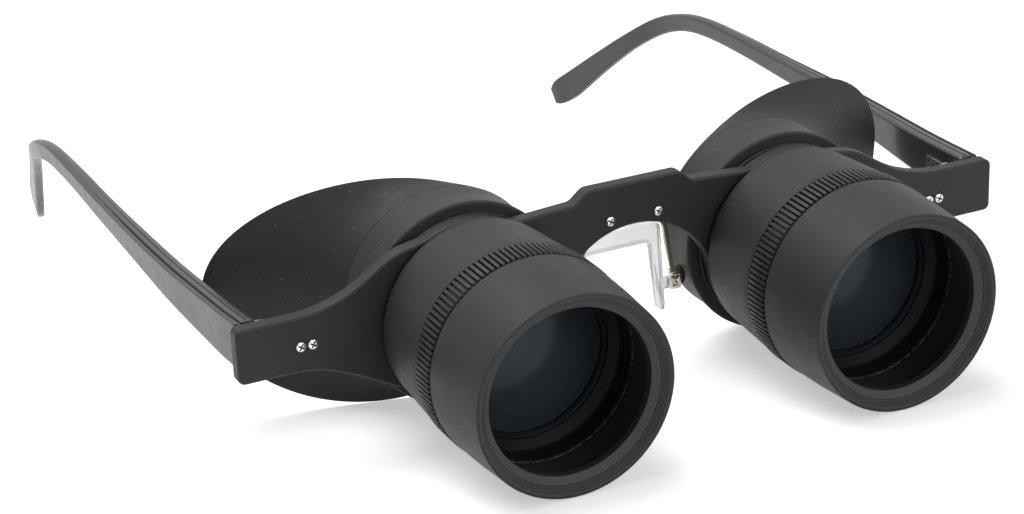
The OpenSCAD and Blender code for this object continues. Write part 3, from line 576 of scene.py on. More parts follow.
class Effects:
    """Builds each shared effect once, as a node group."""

    made: dict[Effect, bpy.types.NodeTree] = {}

    @classmethod
    def get(cls, effect: Effect) -> bpy.types.NodeTree:
        """The node group of an effect, built when it is first asked for.

        Args:
            effect: the effect.

        Returns:
            Its node group.
        """
        if effect not in cls.made:
            maker = {
                Effect.GRAIN: cls.grain,
                Effect.HANDLING: cls.handling,
                Effect.EDGE: cls.edge,
                Effect.DUST: cls.dust,
                Effect.TURNING: cls.turning,
                Effect.BRUSHING: cls.brushing,
            }[effect]
            cls.made[effect] = maker(effect.value)
        return cls.made[effect]

    @staticmethod
    def group(name: str, inputs: dict[str, float], outputs: Sequence[str]) -> tuple[Tree, dict, dict]:
        """Starts a node group with named float sockets.

        Args:
            name: name of the group.
            inputs: name and default of each input.
            outputs: name of each output.

        Returns:
            The tree, its input sockets by name and its output sockets by name.
        """
        group = bpy.data.node_groups.new(name, "ShaderNodeTree")
        for key, value in inputs.items():
            socket = group.interface.new_socket(name=key, in_out="INPUT", socket_type="NodeSocketFloat")
            socket.default_value = value
        for key in outputs:
            group.interface.new_socket(name=key, in_out="OUTPUT", socket_type="NodeSocketFloat")
        tree = Tree(group)
        enter = tree.add("NodeGroupInput")
        leave = tree.add("NodeGroupOutput")
        return tree, {k: enter.outputs[k] for k in inputs}, {k: leave.inputs[k] for k in outputs}

    @classmethod
    def grain(cls, name: str) -> bpy.types.NodeTree:
        """Minute grain of a moulded face.

        Args:
            name: name of the group.

        Returns:
            The group, with outputs Height and Tone.
        """
        tree, given, out = cls.group(name, {"Scale": 5.0}, ("Height", "Tone"))
        place = tree.place()
        where = {"Vector": place, "Scale": given["Scale"]}
        fine = tree.add("TexNoise", {**where, "Detail": 3.0, "Roughness": 0.6})
        cells = tree.add("TexVoronoi", {**where, "Randomness": 1.0}, feature="SMOOTH_F1")
        height = tree.math("ADD", tree.math("MULTIPLY", fine.outputs[0], 0.8),
                           tree.math("MULTIPLY", cells.outputs["Distance"], 0.2))
        tree.tree.links.new(height, out["Height"])
        tree.tree.links.new(tree.span(fine.outputs[0], 0.35, 0.68), out["Tone"])
        return tree.tree

    @classmethod
    def handling(cls, name: str) -> bpy.types.NodeTree:
        """Broad uneven gloss and shade that handling leaves.

        Args:
            name: name of the group.

        Returns:
            The group, with outputs Shade and Gloss.
        """
        tree, given, out = cls.group(name, {"Scale": 0.08}, ("Shade", "Gloss"))
        place = tree.place()
        broad = tree.add("TexNoise", {"Vector": place, "Scale": given["Scale"], "Detail": 2.0})
        close = tree.add("TexNoise", {"Vector": place, "Scale": tree.math("MULTIPLY", given["Scale"], 5.0),
                                      "Detail": 2.0})
        tree.tree.links.new(tree.span(broad.outputs[0], 0.3, 0.7), out["Shade"])
        tree.tree.links.new(tree.span(close.outputs[0], 0.3, 0.72), out["Gloss"])
        return tree.tree

    @classmethod
    def edge(cls, name: str) -> bpy.types.NodeTree:
        """Edges of about the given width in millimetres, for rubbed wear and for painted edge highlights.

        Args:
            name: name of the group.

        Returns:
            The group, with output Mask, which is 1 on a marked edge: rubbed wear, and a painted highlight
            where a finish uses it for that.
        """
        tree, given, out = cls.group(name, {"Width": 0.4, "Amount": 0.5}, ("Mask",))
        radius = tree.math("MULTIPLY", given["Width"], MM)
        bevel = tree.add("Bevel", {"Radius": radius}, samples=6)
        normal = tree.add("NewGeometry").outputs["Normal"]
        flat = tree.add("VectorMath", {0: bevel.outputs[0], 1: normal}, operation="DOT_PRODUCT")
        patchiness = tree.add("TexNoise", {"Vector": tree.place(), "Scale": 0.9, "Detail": 4.0})
        edge = tree.span(flat.outputs["Value"], 0.995, 0.86)
        worn_and_highlit = tree.math("MULTIPLY", edge, tree.span(patchiness.outputs[0], 0.32, 0.62))
        tree.tree.links.new(tree.math("MULTIPLY", worn_and_highlit, given["Amount"], clamp=True), out["Mask"])
        return tree.tree

    @classmethod
    def dust(cls, name: str) -> bpy.types.NodeTree:
        """Single pale specks of dust.

        Args:
            name: name of the group.

        Returns:
            The group, with output Mask, which is 1 on a speck.
        """
        tree, given, out = cls.group(name, {"Scale": DUST_SCALE, "Size": 0.1, "Share": 0.1}, ("Mask",))
        specks = tree.add("TexVoronoi", {"Vector": tree.place(), "Scale": given["Scale"]}, feature="F1")
        parts = tree.add("SeparateColor", {0: specks.outputs["Color"]}).outputs
        own_size = tree.math("MULTIPLY", given["Size"], tree.span(parts[1], 0.0, 1.0, (0.55, 1.1)))
        near = tree.math("LESS_THAN", specks.outputs["Distance"], own_size)
        tree.tree.links.new(tree.math("MULTIPLY", near, tree.math("LESS_THAN", parts[0], given["Share"])),
                            out["Mask"])
        return tree.tree

    @classmethod
    def turning(cls, name: str) -> bpy.types.NodeTree:
        """Fine rings about a barrel's axis, as a mould's turning leaves them.

        Args:
            name: name of the group.

        Returns:
            The group, with output Height.
        """
        tree, given, out = cls.group(name, {"Pitch": 0.3}, ("Height",))
        parts = tree.add("SeparateXYZ", {0: tree.place()})
        square = tree.math("ADD", tree.math("POWER", parts.outputs[0], 2.0),
                           tree.math("POWER", parts.outputs[2], 2.0))
        track = tree.math("ADD", tree.math("SQRT", square), parts.outputs[1])
        turns = tree.math("DIVIDE", tree.math("MULTIPLY", track, 2 * math.pi), given["Pitch"])
        wave = tree.math("SINE", turns)
        uneven = tree.add("TexNoise", {"W": track, "Scale": 2.6, "Detail": 3.0}, noise_dimensions="1D")
        height = tree.math("ADD", tree.math("MULTIPLY", wave, 0.25), uneven.outputs[0])
        tree.tree.links.new(height, out["Height"])
        return tree.tree

    @classmethod
    def brushing(cls, name: str) -> bpy.types.NodeTree:
        """Fine upright scratches of a polished metal.

        Args:
            name: name of the group.

        Returns:
            The group, with outputs Height and Tone.
        """
        tree, given, out = cls.group(name, {"Scale": 6.0}, ("Height", "Tone"))
        upright = tree.add("VectorMath", {0: tree.place(), 1: (1.0, 1.0, 0.09)}, operation="MULTIPLY")
        where = {"Vector": upright.outputs[0], "Scale": given["Scale"]}
        lines = tree.add("TexNoise", {**where, "Detail": 6.0, "Roughness": 0.7})
        tree.tree.links.new(lines.outputs[0], out["Height"])
        tree.tree.links.new(tree.span(lines.outputs[0], 0.35, 0.65), out["Tone"])
        return tree.tree


def started(name: str) -> tuple[bpy.types.Material, Tree, bpy.types.Node]:
    """Begins a material.

    Args:
        name: name of the material.

    Returns:
        The material, its tree and its main shader.
    """
    material = bpy.data.materials.new(name)
    material.use_nodes = True
    tree = Tree(material.node_tree)
    shader = tree.add("BsdfPrincipled")
    tree.add("OutputMaterial", {0: shader.outputs[0]})
    return material, tree, shader


def shade(colour: Colour, factor: float) -> Colour:
    """A colour made darker or lighter."""
    return tuple(min(c * factor, 1.0) for c in colour)


def set_inputs(shader: bpy.types.Node, values: dict[str, object]) -> None:
    """Sets values that are the same all over on the shader's own sockets."""
    for key, value in values.items():
        shader.inputs[key].default_value = value


@dataclass(frozen=True)
class Plastic:
    """Moulded or turned plastic and rubber: grain, uneven gloss, rubbed edges that some finishes also use
    as painted edge highlights, and dust.
    """

    name: str
    colour: Colour
    roughness: float
    specular: float = 0.3
    grain: float = 5.0
    grain_depth: float = 0.007
    uneven: float = 0.05
    turning: float = 0.0
    wear_and_highlight: float = 0.3
    wear_and_highlight_width: float = 0.35
    wear_and_highlight_colour: Colour = (0.08, 0.08, 0.082)
    dust: float = 0.08
    dust_share: float = 0.07
    dust_colour: Colour = (0.16, 0.16, 0.16)
    sheen: float = 0.0
    sheen_roughness: float = 0.45
    coat: float = 0.0
    coat_roughness: float = 0.12
    mark_scale: float = 0.07
    tone_share: float = 0.25
    tone_lift: float = 1.3
    gloss_spread: Point = (-0.02, 0.03)
    edge_polish: float = 0.1
    ring_pitch: float = 0.32

    def material(self) -> bpy.types.Material:
        """Builds the finish.

        Returns:
            The material.
        """
        material, tree, shader = started(self.name)
        join = tree.tree.links.new
        grain = tree.effect(Effect.GRAIN, Scale=self.grain)
        marks = tree.effect(Effect.HANDLING, Scale=self.mark_scale)
        edge = tree.effect(Effect.EDGE, Width=self.wear_and_highlight_width, Amount=self.wear_and_highlight)
        dust = tree.effect(Effect.DUST, Scale=DUST_SCALE, Size=self.dust, Share=self.dust_share)
        darker, lighter = shade(self.colour, 1 - self.uneven), shade(self.colour, 1 + self.uneven)
        base = tree.blend(marks["Shade"], darker, lighter)
        tone = tree.math("MULTIPLY", grain["Tone"], self.tone_share)
        base = tree.blend(tone, base, shade(self.colour, self.tone_lift))
        # Lighter edges: rubbed wear, and painted edge highlights on the lens cell and the eyecup rim.
        base = tree.blend(edge["Mask"], base, self.wear_and_highlight_colour)
        base = tree.blend(dust["Mask"], base, self.dust_colour)
        join(base, shader.inputs["Base Color"])
        low, high = (self.roughness + spread for spread in self.gloss_spread)
        gloss = tree.span(marks["Gloss"], 0.0, 1.0, (low, high))
        polish = tree.math("MULTIPLY", edge["Mask"], self.edge_polish)
        join(tree.math("SUBTRACT", gloss, polish, clamp=True), shader.inputs["Roughness"])
        height = tree.math("ADD", grain["Height"], dust["Mask"])
        if self.turning:
            rings = tree.effect(Effect.TURNING, Pitch=self.ring_pitch)
            height = tree.math("ADD", height, tree.math("MULTIPLY", rings["Height"], self.turning))
        bump = tree.add("Bump", {"Height": height, "Distance": self.grain_depth * MM})
        join(bump.outputs[0], shader.inputs["Normal"])
        set_inputs(shader, {
            "Specular IOR Level": self.specular,
            "Sheen Weight": self.sheen,
            "Sheen Roughness": self.sheen_roughness,
            "Coat Weight": self.coat,
            "Coat Roughness": self.coat_roughness,
        })
        return material


@dataclass(frozen=True)
class Metal:
    """Plated or turned metal: brushed lines, worn edges and dull places."""

    name: str
    colour: Colour
    roughness: float
    lines: float = 6.0
    line_depth: float = 0.003
    dull: float = 0.25
    dull_colour: Colour = (0.3, 0.28, 0.24)
    mark_scale: float = 0.35
    edge_width: float = 0.15
    edge_amount: float = 0.8
    edge_lift: float = 1.15
    line_share: float = 0.3
    line_shade: float = 0.7
    gloss_spread: Point = (-0.04, 0.08)

    def material(self) -> bpy.types.Material:
        """Builds the finish.

        Returns:
            The material.
        """
        material, tree, shader = started(self.name)
        join = tree.tree.links.new
        brush = tree.effect(Effect.BRUSHING, Scale=self.lines)
        marks = tree.effect(Effect.HANDLING, Scale=self.mark_scale)
        edge = tree.effect(Effect.EDGE, Width=self.edge_width, Amount=self.edge_amount)
        base = tree.blend(tree.math("MULTIPLY", marks["Shade"], self.dull), self.colour, self.dull_colour)
        lines = tree.math("MULTIPLY", brush["Tone"], self.line_share)
        base = tree.blend(lines, base, shade(self.colour, self.line_shade))
        base = tree.blend(edge["Mask"], base, shade(self.colour, self.edge_lift))
        join(base, shader.inputs["Base Color"])
        low, high = (self.roughness + spread for spread in self.gloss_spread)
        join(tree.span(marks["Gloss"], 0.0, 1.0, (low, high)), shader.inputs["Roughness"])
        bump = tree.add("Bump", {"Height": brush["Height"], "Distance": self.line_depth * MM})
        join(bump.outputs[0], shader.inputs["Normal"])
        set_inputs(shader, {"Metallic": 1.0})
        return material


@dataclass(frozen=True)
class Clear:
    """Clear glass or silicone: a tint, faint haze where it was touched, and dust."""

    name: str
    colour: Colour
    haze: float
    ior: float
    tint: Colour = (1.0, 1.0, 1.0)
    clearness: float = 1.0
    dust: float = 0.06
    dust_share: float = 0.08
    dust_colour: Colour = (0.4, 0.4, 0.4)
    dust_haze: float = 0.4
    mark_scale: float = 0.09
    mark_shade: float = 0.93
    haze_spread: Point = (0.8, 1.2)

    def material(self) -> bpy.types.Material:
        """Builds the finish.

        Returns:
            The material.
        """
        material, tree, shader = started(self.name)
        join = tree.tree.links.new
        marks = tree.effect(Effect.HANDLING, Scale=self.mark_scale)
        dust = tree.effect(Effect.DUST, Scale=DUST_SCALE, Size=self.dust, Share=self.dust_share)
        base = tree.blend(marks["Shade"], self.colour, shade(self.colour, self.mark_shade))
        join(tree.blend(dust["Mask"], base, self.dust_colour), shader.inputs["Base Color"])
        low, high = (self.haze * spread for spread in self.haze_spread)
        gloss = tree.span(marks["Gloss"], 0.0, 1.0, (low, high))
        gloss = tree.math("ADD", gloss, tree.math("MULTIPLY", dust["Mask"], self.dust_haze))
        join(gloss, shader.inputs["Roughness"])
        set_inputs(shader, {
            "Transmission Weight": self.clearness,
            "Metallic": 0.0,
            "IOR": self.ior,
            "Specular Tint": (*self.tint, 1.0),
        })
        return material


class Finishes:
    """Every finish of the glasses, by the record's slot."""

    table = {
        "plate_plastic": Plastic("plate plastic", (0.021, 0.021, 0.0215), 0.5, specular=0.22, wear_and_highlight=0.45),
        "barrel_plastic": Plastic("barrel plastic", (0.026, 0.026, 0.027), 0.52, specular=0.18,
                                  turning=0.12),
        "ring_plastic": Plastic("focus ring plastic", (0.021, 0.021, 0.022), 0.48, specular=0.22, wear_and_highlight=0.6),
        "hood_plastic": Plastic("hood plastic", (0.026, 0.026, 0.027), 0.5, specular=0.18, turning=0.12),
        # The hood's dished face is the hood's plastic, turned, with its colour made lighter as painted
        # light from the front.
        "hood_face": Plastic("turned hood face painted lighter", (0.042, 0.042, 0.0425), 0.55, specular=0.3, turning=0.2),
        # The lens cell's light edge colour paints highlight lines along the edges of its head and ring:
        # painted highlights.
        "cell_plastic": Plastic("lens cell plastic", (0.0085, 0.009, 0.0105), 0.45, specular=0.09,
                                grain_depth=0.0012, uneven=0.02, wear_and_highlight=0.9, wear_and_highlight_width=0.2,
                                wear_and_highlight_colour=(0.26, 0.265, 0.27), dust=0.05, dust_share=0.02),
        "eyepiece_plastic": Plastic("eyepiece plastic", (0.015, 0.015, 0.016), 0.4, turning=0.15),
        "temple_plastic": Plastic("temple plastic", (0.025, 0.025, 0.0265), 0.36, specular=0.42,
                                  grain_depth=0.0015, wear_and_highlight=0.15, dust_share=0.03, coat=0.15),
        # The eyecup's lighter edge colour is partly rubbed wear and partly a painted highlight along the
        # lit rim.
        "eyecup_rubber": Plastic("eyecup rubber", (0.016, 0.016, 0.0165), 0.62, specular=0.3,
                                 grain_depth=0.009, wear_and_highlight=0.5, wear_and_highlight_colour=(0.045, 0.045, 0.045), dust=0.1,
                                 dust_share=0.45, dust_colour=(0.14, 0.14, 0.14), sheen=0.1),
        "spring_steel": Metal("spring steel", (0.5, 0.5, 0.52), 0.35),
        "hinge_nickel": Metal("hinge nickel", (0.62, 0.61, 0.6), 0.3),
        "arm_nickel": Metal("arm nickel", (0.86, 0.81, 0.71), 0.2, line_depth=0.001, dull=0.1),
        # The fronts of the nose arms' strips take a dark brownish metal: a painted dark reflection.
        "arm_front_painted_shade": Metal("arm front painted dark reflection", (0.16, 0.14, 0.09), 0.38, dull=0.1, dull_colour=(0.1, 0.08, 0.05)),
        "rivet_steel": Metal("rivet steel", (0.85, 0.85, 0.84), 0.22, lines=9.0, line_depth=0.002),
        "screw_steel": Metal("screw steel", (0.7, 0.67, 0.6), 0.24, line_depth=0.001, dull=0.1),
        "key_brass": Metal("key brass", (0.75, 0.58, 0.28), 0.3, dull_colour=(0.4, 0.28, 0.12)),
        # The objective's bluish cast is its coating; its dark, partly opaque colour is painted shade for
        # the dark barrel seen through it.
        "objective_glass": Clear("coated objective glass painted dark", (0.043, 0.053, 0.066), 0.2, 1.28,
                                 tint=(0.8, 0.91, 1.0), clearness=0.4, dust=0.04),
        "eye_glass": Clear("eye lens glass", (0.36, 0.4, 0.45), 0.03, 1.52, tint=(0.8, 0.9, 1.0)),
        "saddle_silicone": Clear("clear saddle silicone", (0.97, 0.975, 0.98), 0.12, 1.36, clearness=0.6),
    }
    made: dict[str, bpy.types.Material] = {}

    @classmethod
    def get(cls, slot: str) -> bpy.types.Material:
        """The material of a slot, built when it is first asked for.

        Args:
            slot: the record's slot.

        Returns:
            The material.
        """
        if slot not in cls.made:
            cls.made[slot] = cls.table[slot].material()
        return cls.made[slot]


def seated(piece: bpy.types.Object, slot: str, body: str, *nodes: str) -> bpy.types.Object:
    """Dresses a piece, lets it ride on its body and lets it stand for its nodes.

    Args:
        piece: the new piece.
        slot: the record's slot that it takes its finish from.
        body: the body that it moves with.
        nodes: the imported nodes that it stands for.

    Returns:
        The piece.
    """
    if not piece.data.materials:
        piece.data.materials.append(Finishes.get(slot))
    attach(piece, body)
    if nodes:
        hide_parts(*nodes)
    return piece


def redressed(node: str, slot: str) -> bpy.types.Object:
    """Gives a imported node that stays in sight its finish.

    Args:
        node: name of the node.
        slot: the record's slot that it takes its finish from.

    Returns:
        The node's object.
    """
    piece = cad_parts[node]
    for holder in piece.material_slots:
        holder.material = Finishes.get(slot)
    return piece


def two_finishes(
    piece: bpy.types.Object, slots: tuple[str, str], takes_second: Callable[[bpy.types.MeshPolygon], bool]
) -> None:
    """Dresses a piece in two finishes.

    Args:
        piece: the piece, which has no finish yet.
        slots: the finish of most faces and the other one.
        takes_second: tells whether a face takes the other one.
    """
    for slot in slots:
        piece.data.materials.append(Finishes.get(slot))
    for face in piece.data.polygons:
        face.material_index = int(takes_second(face))


@dataclass
class FramePlate:
    """The flat front plate with its bridge, nose arch and end pieces."""

    thickness: float = 3.3
    edge: float = 0.55

    def build(self) -> list[bpy.types.Object]:
        """Makes the plate with rounded edges from its own outline.

        Returns:
            The pieces of the sub-assembly.
        """
        loops = front_loops("frame_plate")
        piece = slab(loops, (0.0, self.thickness), self.edge, "front_plate")
        return [seated(piece, "plate_plastic", "frame", "frame_plate")]


@dataclass
class Barrel:
    """A barrel with its rounded shoulder, sleeve and the snap ring on it."""

    side: Side
    collar_r: float = 16.5
    collar_len: float = 3.2
    back_r: float = 18.6
    shoulder_r: float = 20.2
    shoulder_len: float = 2.6
    front_r: float = 21.2
    length: float = 19.0
    front_round: float = 2.5
    front_round_len: float = 1.6
    sleeve_r: float = 18.6
    sleeve_front: float = 23.0
    groove_back: float = 22.1
    groove_front: float = 22.7
    groove_r: float = 18.2
    bore_r: float = 17.5
    rear_bore_r: float = 14.44
    rear_bore_len: float = 8.0
    shoulder_steps: int = 10
    slot_gap: float = 0.1
    slot_low_gap: float = 0.3
    slot_back_gap: float = 2.2
    slot_over: Point = (1.0, 2.0)

    def outline(self) -> list[Point]:
        """Closed outline of the barrel's wall.

        Returns:
            Radius and distance in front of the plate of each point.
        """
        rise = self.shoulder_r - self.back_r
        shoulder = []
        for k in range(self.shoulder_steps + 1):
            a = math.pi / 2 * k / self.shoulder_steps
            shoulder.append((self.back_r + rise * math.sin(a), self.shoulder_len * (1 - math.cos(a))))
        back = -self.collar_len
        first = [(self.rear_bore_r, back), (self.collar_r, back), (self.collar_r, 0.0)]
        last = rounded([
            (*shoulder[-1], 0.0),
            (self.front_r, self.length - self.front_round_len, self.front_round),
            (self.front_r, self.length, 0.3),
            (self.sleeve_r, self.length, 0.0),
            (self.sleeve_r, self.groove_back, 0.0),
            (self.groove_r, self.groove_back, 0.0),
            (self.groove_r, self.groove_front, 0.0),
            (self.sleeve_r, self.groove_front, 0.0),
            (self.sleeve_r, self.sleeve_front, 0.12),
            (self.bore_r, self.sleeve_front, 0.12),
            (self.bore_r, self.rear_bore_len, 0.0),
            (self.rear_bore_r, self.rear_bore_len, 0.2),
        ])
        return first + shoulder[:-1] + last

    def build(self) -> list[bpy.types.Object]:
        """Makes the barrel with its guide slot and dresses the snap ring.

        Returns:
            The pieces of the sub-assembly.
        """
        piece = lathe(self.outline(), self.side.node("barrel_body"))
        piece.location = DATUM.barrel_origin(self.side)
        self.cut_slot(piece)
        seated(piece, "barrel_plastic", "frame", self.side.node("barrel"))
        return [piece, redressed(self.side.node("snap_ring"), "spring_steel")]

    def cut_slot(self, piece: bpy.types.Object) -> None:
        """Cuts the slot that keeps the lens cell's key from turning.

        Args:
            piece: the barrel.
        """
        low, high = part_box(self.side.node("guide_key"))
        front_over, top_over = self.slot_over
        low -= Vector((self.slot_gap, 0.0, self.slot_low_gap)) * MM
        high += Vector((self.slot_gap, self.slot_back_gap, top_over)) * MM
        low.y = DATUM.plate_front - (self.sleeve_front + front_over) * MM
        cut_block(piece, (low + high) / 2, high - low)


@dataclass
class FocusRing:
    """The ribbed ring that turns on the barrel's sleeve and carries the hood."""

    side: Side
    back: float = 19.1
    length: float = 6.4
    outer_r: float = 21.5
    rib_dip: float = 0.95
    ribs: int = 120
    rib_foot: float = 0.7
    rib_flank: float = 0.16
    rib_crown: float = 0.7
    rib_end: float = 0.6
    rib_front_end: float = 0.24
    rib_points: tuple[float, ...] = (
        0.0, 0.08, 0.15, 0.19, 0.23, 0.3, 0.4, 0.5, 0.6, 0.7, 0.77, 0.81, 0.85, 0.92,
    )
    end_points: tuple[float, ...] = (0.04, 0.16, 0.36, 0.64, 1.0)
    front_gap: float = 0.3
    edge_drop: float = 0.1
    flange_t: float = 2.9
    hole_r: float = 18.66
    bore_r: float = 19.35
    boss_r: float = 20.2
    boss_len: float = 3.0

    def rib_height(self, angle: float) -> float:
        """Share of the full rib that stands at an angle.

        Args:
            angle: direction in radians.

        Returns:
            The share, 1 on a rib's crown.
        """
        turn = (angle * self.ribs / (2 * math.pi)) % 1.0
        across = abs(turn - 0.5) * 2
        return min(max((self.rib_foot - across) / self.rib_flank, 0.0), 1.0) ** self.rib_crown

    def rib_run(self, forward: float) -> float:
        """Share of the full rib that stands at a distance along the ring.

        Args:
            forward: distance in front of the plate.

        Returns:
            The share, 1 away from the ring's ends.
        """
        front = self.back + self.length - self.front_gap
        back_share = min(max((forward - self.back) / self.rib_end, 0.0), 1.0)
        front_share = min(max((front - forward) / self.rib_front_end, 0.0), 1.0)
        return math.sqrt(1 - (1 - back_share) ** 2) * math.sqrt(1 - (1 - front_share) ** 2)

    def reshape(self, radius: float, forward: float, angle: float) -> Point:
        """Raises the ribs on the ring's outer face.

        Args:
            radius: distance of a point from the axis.
            forward: its distance in front of the plate.
            angle: its direction in radians.

        Returns:
            The radius and distance that it moves to.
        """
        if radius < self.outer_r:
            return radius, forward
        root = self.outer_r - self.rib_dip
        return root + self.rib_dip * self.rib_height(angle) * self.rib_run(forward), forward

    def build(self) -> list[bpy.types.Object]:
        """Makes the ring.

        Returns:
            The pieces of the sub-assembly.
        """
        front = self.back + self.length
        stop = front - self.front_gap
        runs = [self.back + self.rib_end * s for s in self.end_points]
        runs += [stop - self.rib_front_end * s for s in reversed(self.end_points)] + [stop, front]
        edge_r = self.outer_r - self.rib_dip - self.edge_drop
        outline = [(self.hole_r, self.back), (edge_r, self.back)]
        outline += [(self.outer_r, f) for f in runs]
        outline += [
            (edge_r, front),
            (self.boss_r, front),
            (self.boss_r, front + self.boss_len),
            (self.bore_r, front + self.boss_len),
            (self.bore_r, self.back + self.flange_t),
            (self.hole_r, self.back + self.flange_t),
        ]
        pitch = 2 * math.pi / self.ribs
        angles = [pitch * (i + s) for i in range(self.ribs) for s in self.rib_points]
        piece = lathe(outline, self.side.node("rib_ring"), angles=angles, reshape=self.reshape)
        piece.location = DATUM.barrel_origin(self.side)
        return [seated(piece, "ring_plastic", self.side.node("focus"), self.side.node("focus_ring"))]


@dataclass
class Hood:
    """The hood in front of the focus ring, with fine rings turned into its face."""

    side: Side
    back: float = 25.5
    front: float = 44.0
    back_r: float = 21.35
    front_r: float = 20.45
    bore_r: float = 19.35
    mouth_r: float = 16.85
    mouth_len: float = 1.6
    dish: float = 2.5
    rim_w: float = 0.65
    boss_hole_r: float = 20.24
    boss_end: float = 28.54
    face_rings: tuple[float, ...] = (18.2, 18.55, 18.9, 19.25)
    ring_w: float = 0.24
    ring_depth: float = 0.2
    rim_groove_w: float = 0.26
    rim_groove_depth: float = 0.22
    belly: float = 0.2
    belly_place: float = 0.45
    belly_round: float = 12.0
    lip_slope: float = 1.2
    face_gap: float = 0.1
    segments: int = 192

    def face_level(self, radius: float) -> float:
        """Distance of the dished face in front of the plate at a radius."""
        outer = self.front_r - self.rim_w
        return self.front - self.dish * max(outer - radius, 0.0) / (outer - self.mouth_r)

    def outline(self) -> list[Point]:
        """Closed outline of the hood's wall.

        Returns:
            Radius and distance in front of the plate of each point.
        """
        lip_back = self.front - self.dish - self.mouth_len
        belly_r = (self.back_r + self.front_r) / 2 + self.belly
        belly_f = self.back + (self.front - self.back) * self.belly_place
        rim = self.front_r - self.rim_w
        corners = [
            (self.boss_hole_r, self.back, 0.0),
            (self.back_r, self.back, 0.28),
            (belly_r, belly_f, self.belly_round),
            (self.front_r, self.front, 0.3),
            (rim, self.front, 0.06),
            (rim - self.rim_groove_w / 2, self.face_level(rim) - self.rim_groove_depth, 0.06),
            (rim - self.rim_groove_w, self.face_level(rim - self.rim_groove_w), 0.06),
        ]
        for r in reversed(self.face_rings):
            level = self.face_level(r)
            corners += [
                (r + self.ring_w, self.face_level(r + self.ring_w), 0.05),
                (r + self.ring_w / 2, level - self.ring_depth, 0.05),
                (r, level, 0.05),
            ]
        corners += [
            (self.mouth_r, self.front - self.dish, 0.16),
            (self.mouth_r, lip_back, 0.12),
            (self.bore_r, lip_back - self.lip_slope, 0.3),
            (self.bore_r, self.boss_end, 0.0),
            (self.boss_hole_r, self.boss_end, 0.0),
        ]
        return rounded(corners, steps=4, hold=0.05)

    def build(self) -> list[bpy.types.Object]:
        """Makes the hood.

        Returns:
            The pieces of the sub-assembly.
        """
        piece = lathe(self.outline(), self.side.node("hood_shell"), segments=self.segments)
        lowest = self.front - self.dish - self.ring_depth - self.face_gap

        def on_dished_face(face: bpy.types.MeshPolygon) -> bool:
            """Tells whether a face lies on the hood's dished front.

            Args:
                face: a face of the hood.

            Returns:
                Whether it does.
            """
            middle = face.center / MM
            radius = math.hypot(middle.x, middle.z)
            return self.mouth_r < radius < self.front_r - self.rim_w and -middle.y > lowest

        # The dished face takes a lighter copy of the hood's plastic: painted light.
        two_finishes(piece, ("hood_plastic", "hood_face"), on_dished_face)
        piece.location = DATUM.barrel_origin(self.side)
        return [seated(piece, "hood_plastic", self.side.node("focus"), self.side.node("hood"))]


@dataclass(frozen=True)
class Lens:
    """A lens: a bevelled rim and two ball-shaped faces, hollow where their radius is negative."""

    rim_r: float
    open_r: float
    back: float
    front: float
    back_curve: float
    front_curve: float
    segments: int = 128

    def shape(self, name: str) -> bpy.types.Object:
        """Makes the lens on its barrel's axis.

        Args:
            name: name of the new piece.

        Returns:
            The lens.
        """
        inner_r = self.rim_r - LENS_BEVEL
        outline = [(inner_r, self.back), (self.rim_r, self.back + LENS_BEVEL)]
        outline += [(self.rim_r, self.front - LENS_BEVEL), (inner_r, self.front)]
        outline += bowl(self.front_curve, self.open_r, self.front)
        outline += reversed(bowl(-self.back_curve, self.open_r, self.back))
        return lathe(outline, name, segments=self.segments)


def bowl(curve: float, open_r: float, level: float, steps: int = 14) -> list[Point]:
    """Half outline of a ball-shaped lens face, from its edge to the axis.

    Args:
        curve: radius of the face, negative where its middle lies behind its edge.
        open_r: radius of its edge.
        level: distance of the edge in front of the plate.
        steps: number of pieces.

    Returns:
        Radius and distance of each point.
    """
    size = abs(curve)
    sign = 1 if curve > 0 else -1
    out = []
    for k in range(steps + 1):
        r = open_r * (1 - k / steps)
        rise = math.sqrt(size * size - r * r) - math.sqrt(size * size - open_r * open_r)
        out.append((r, level + sign * rise))
    return out


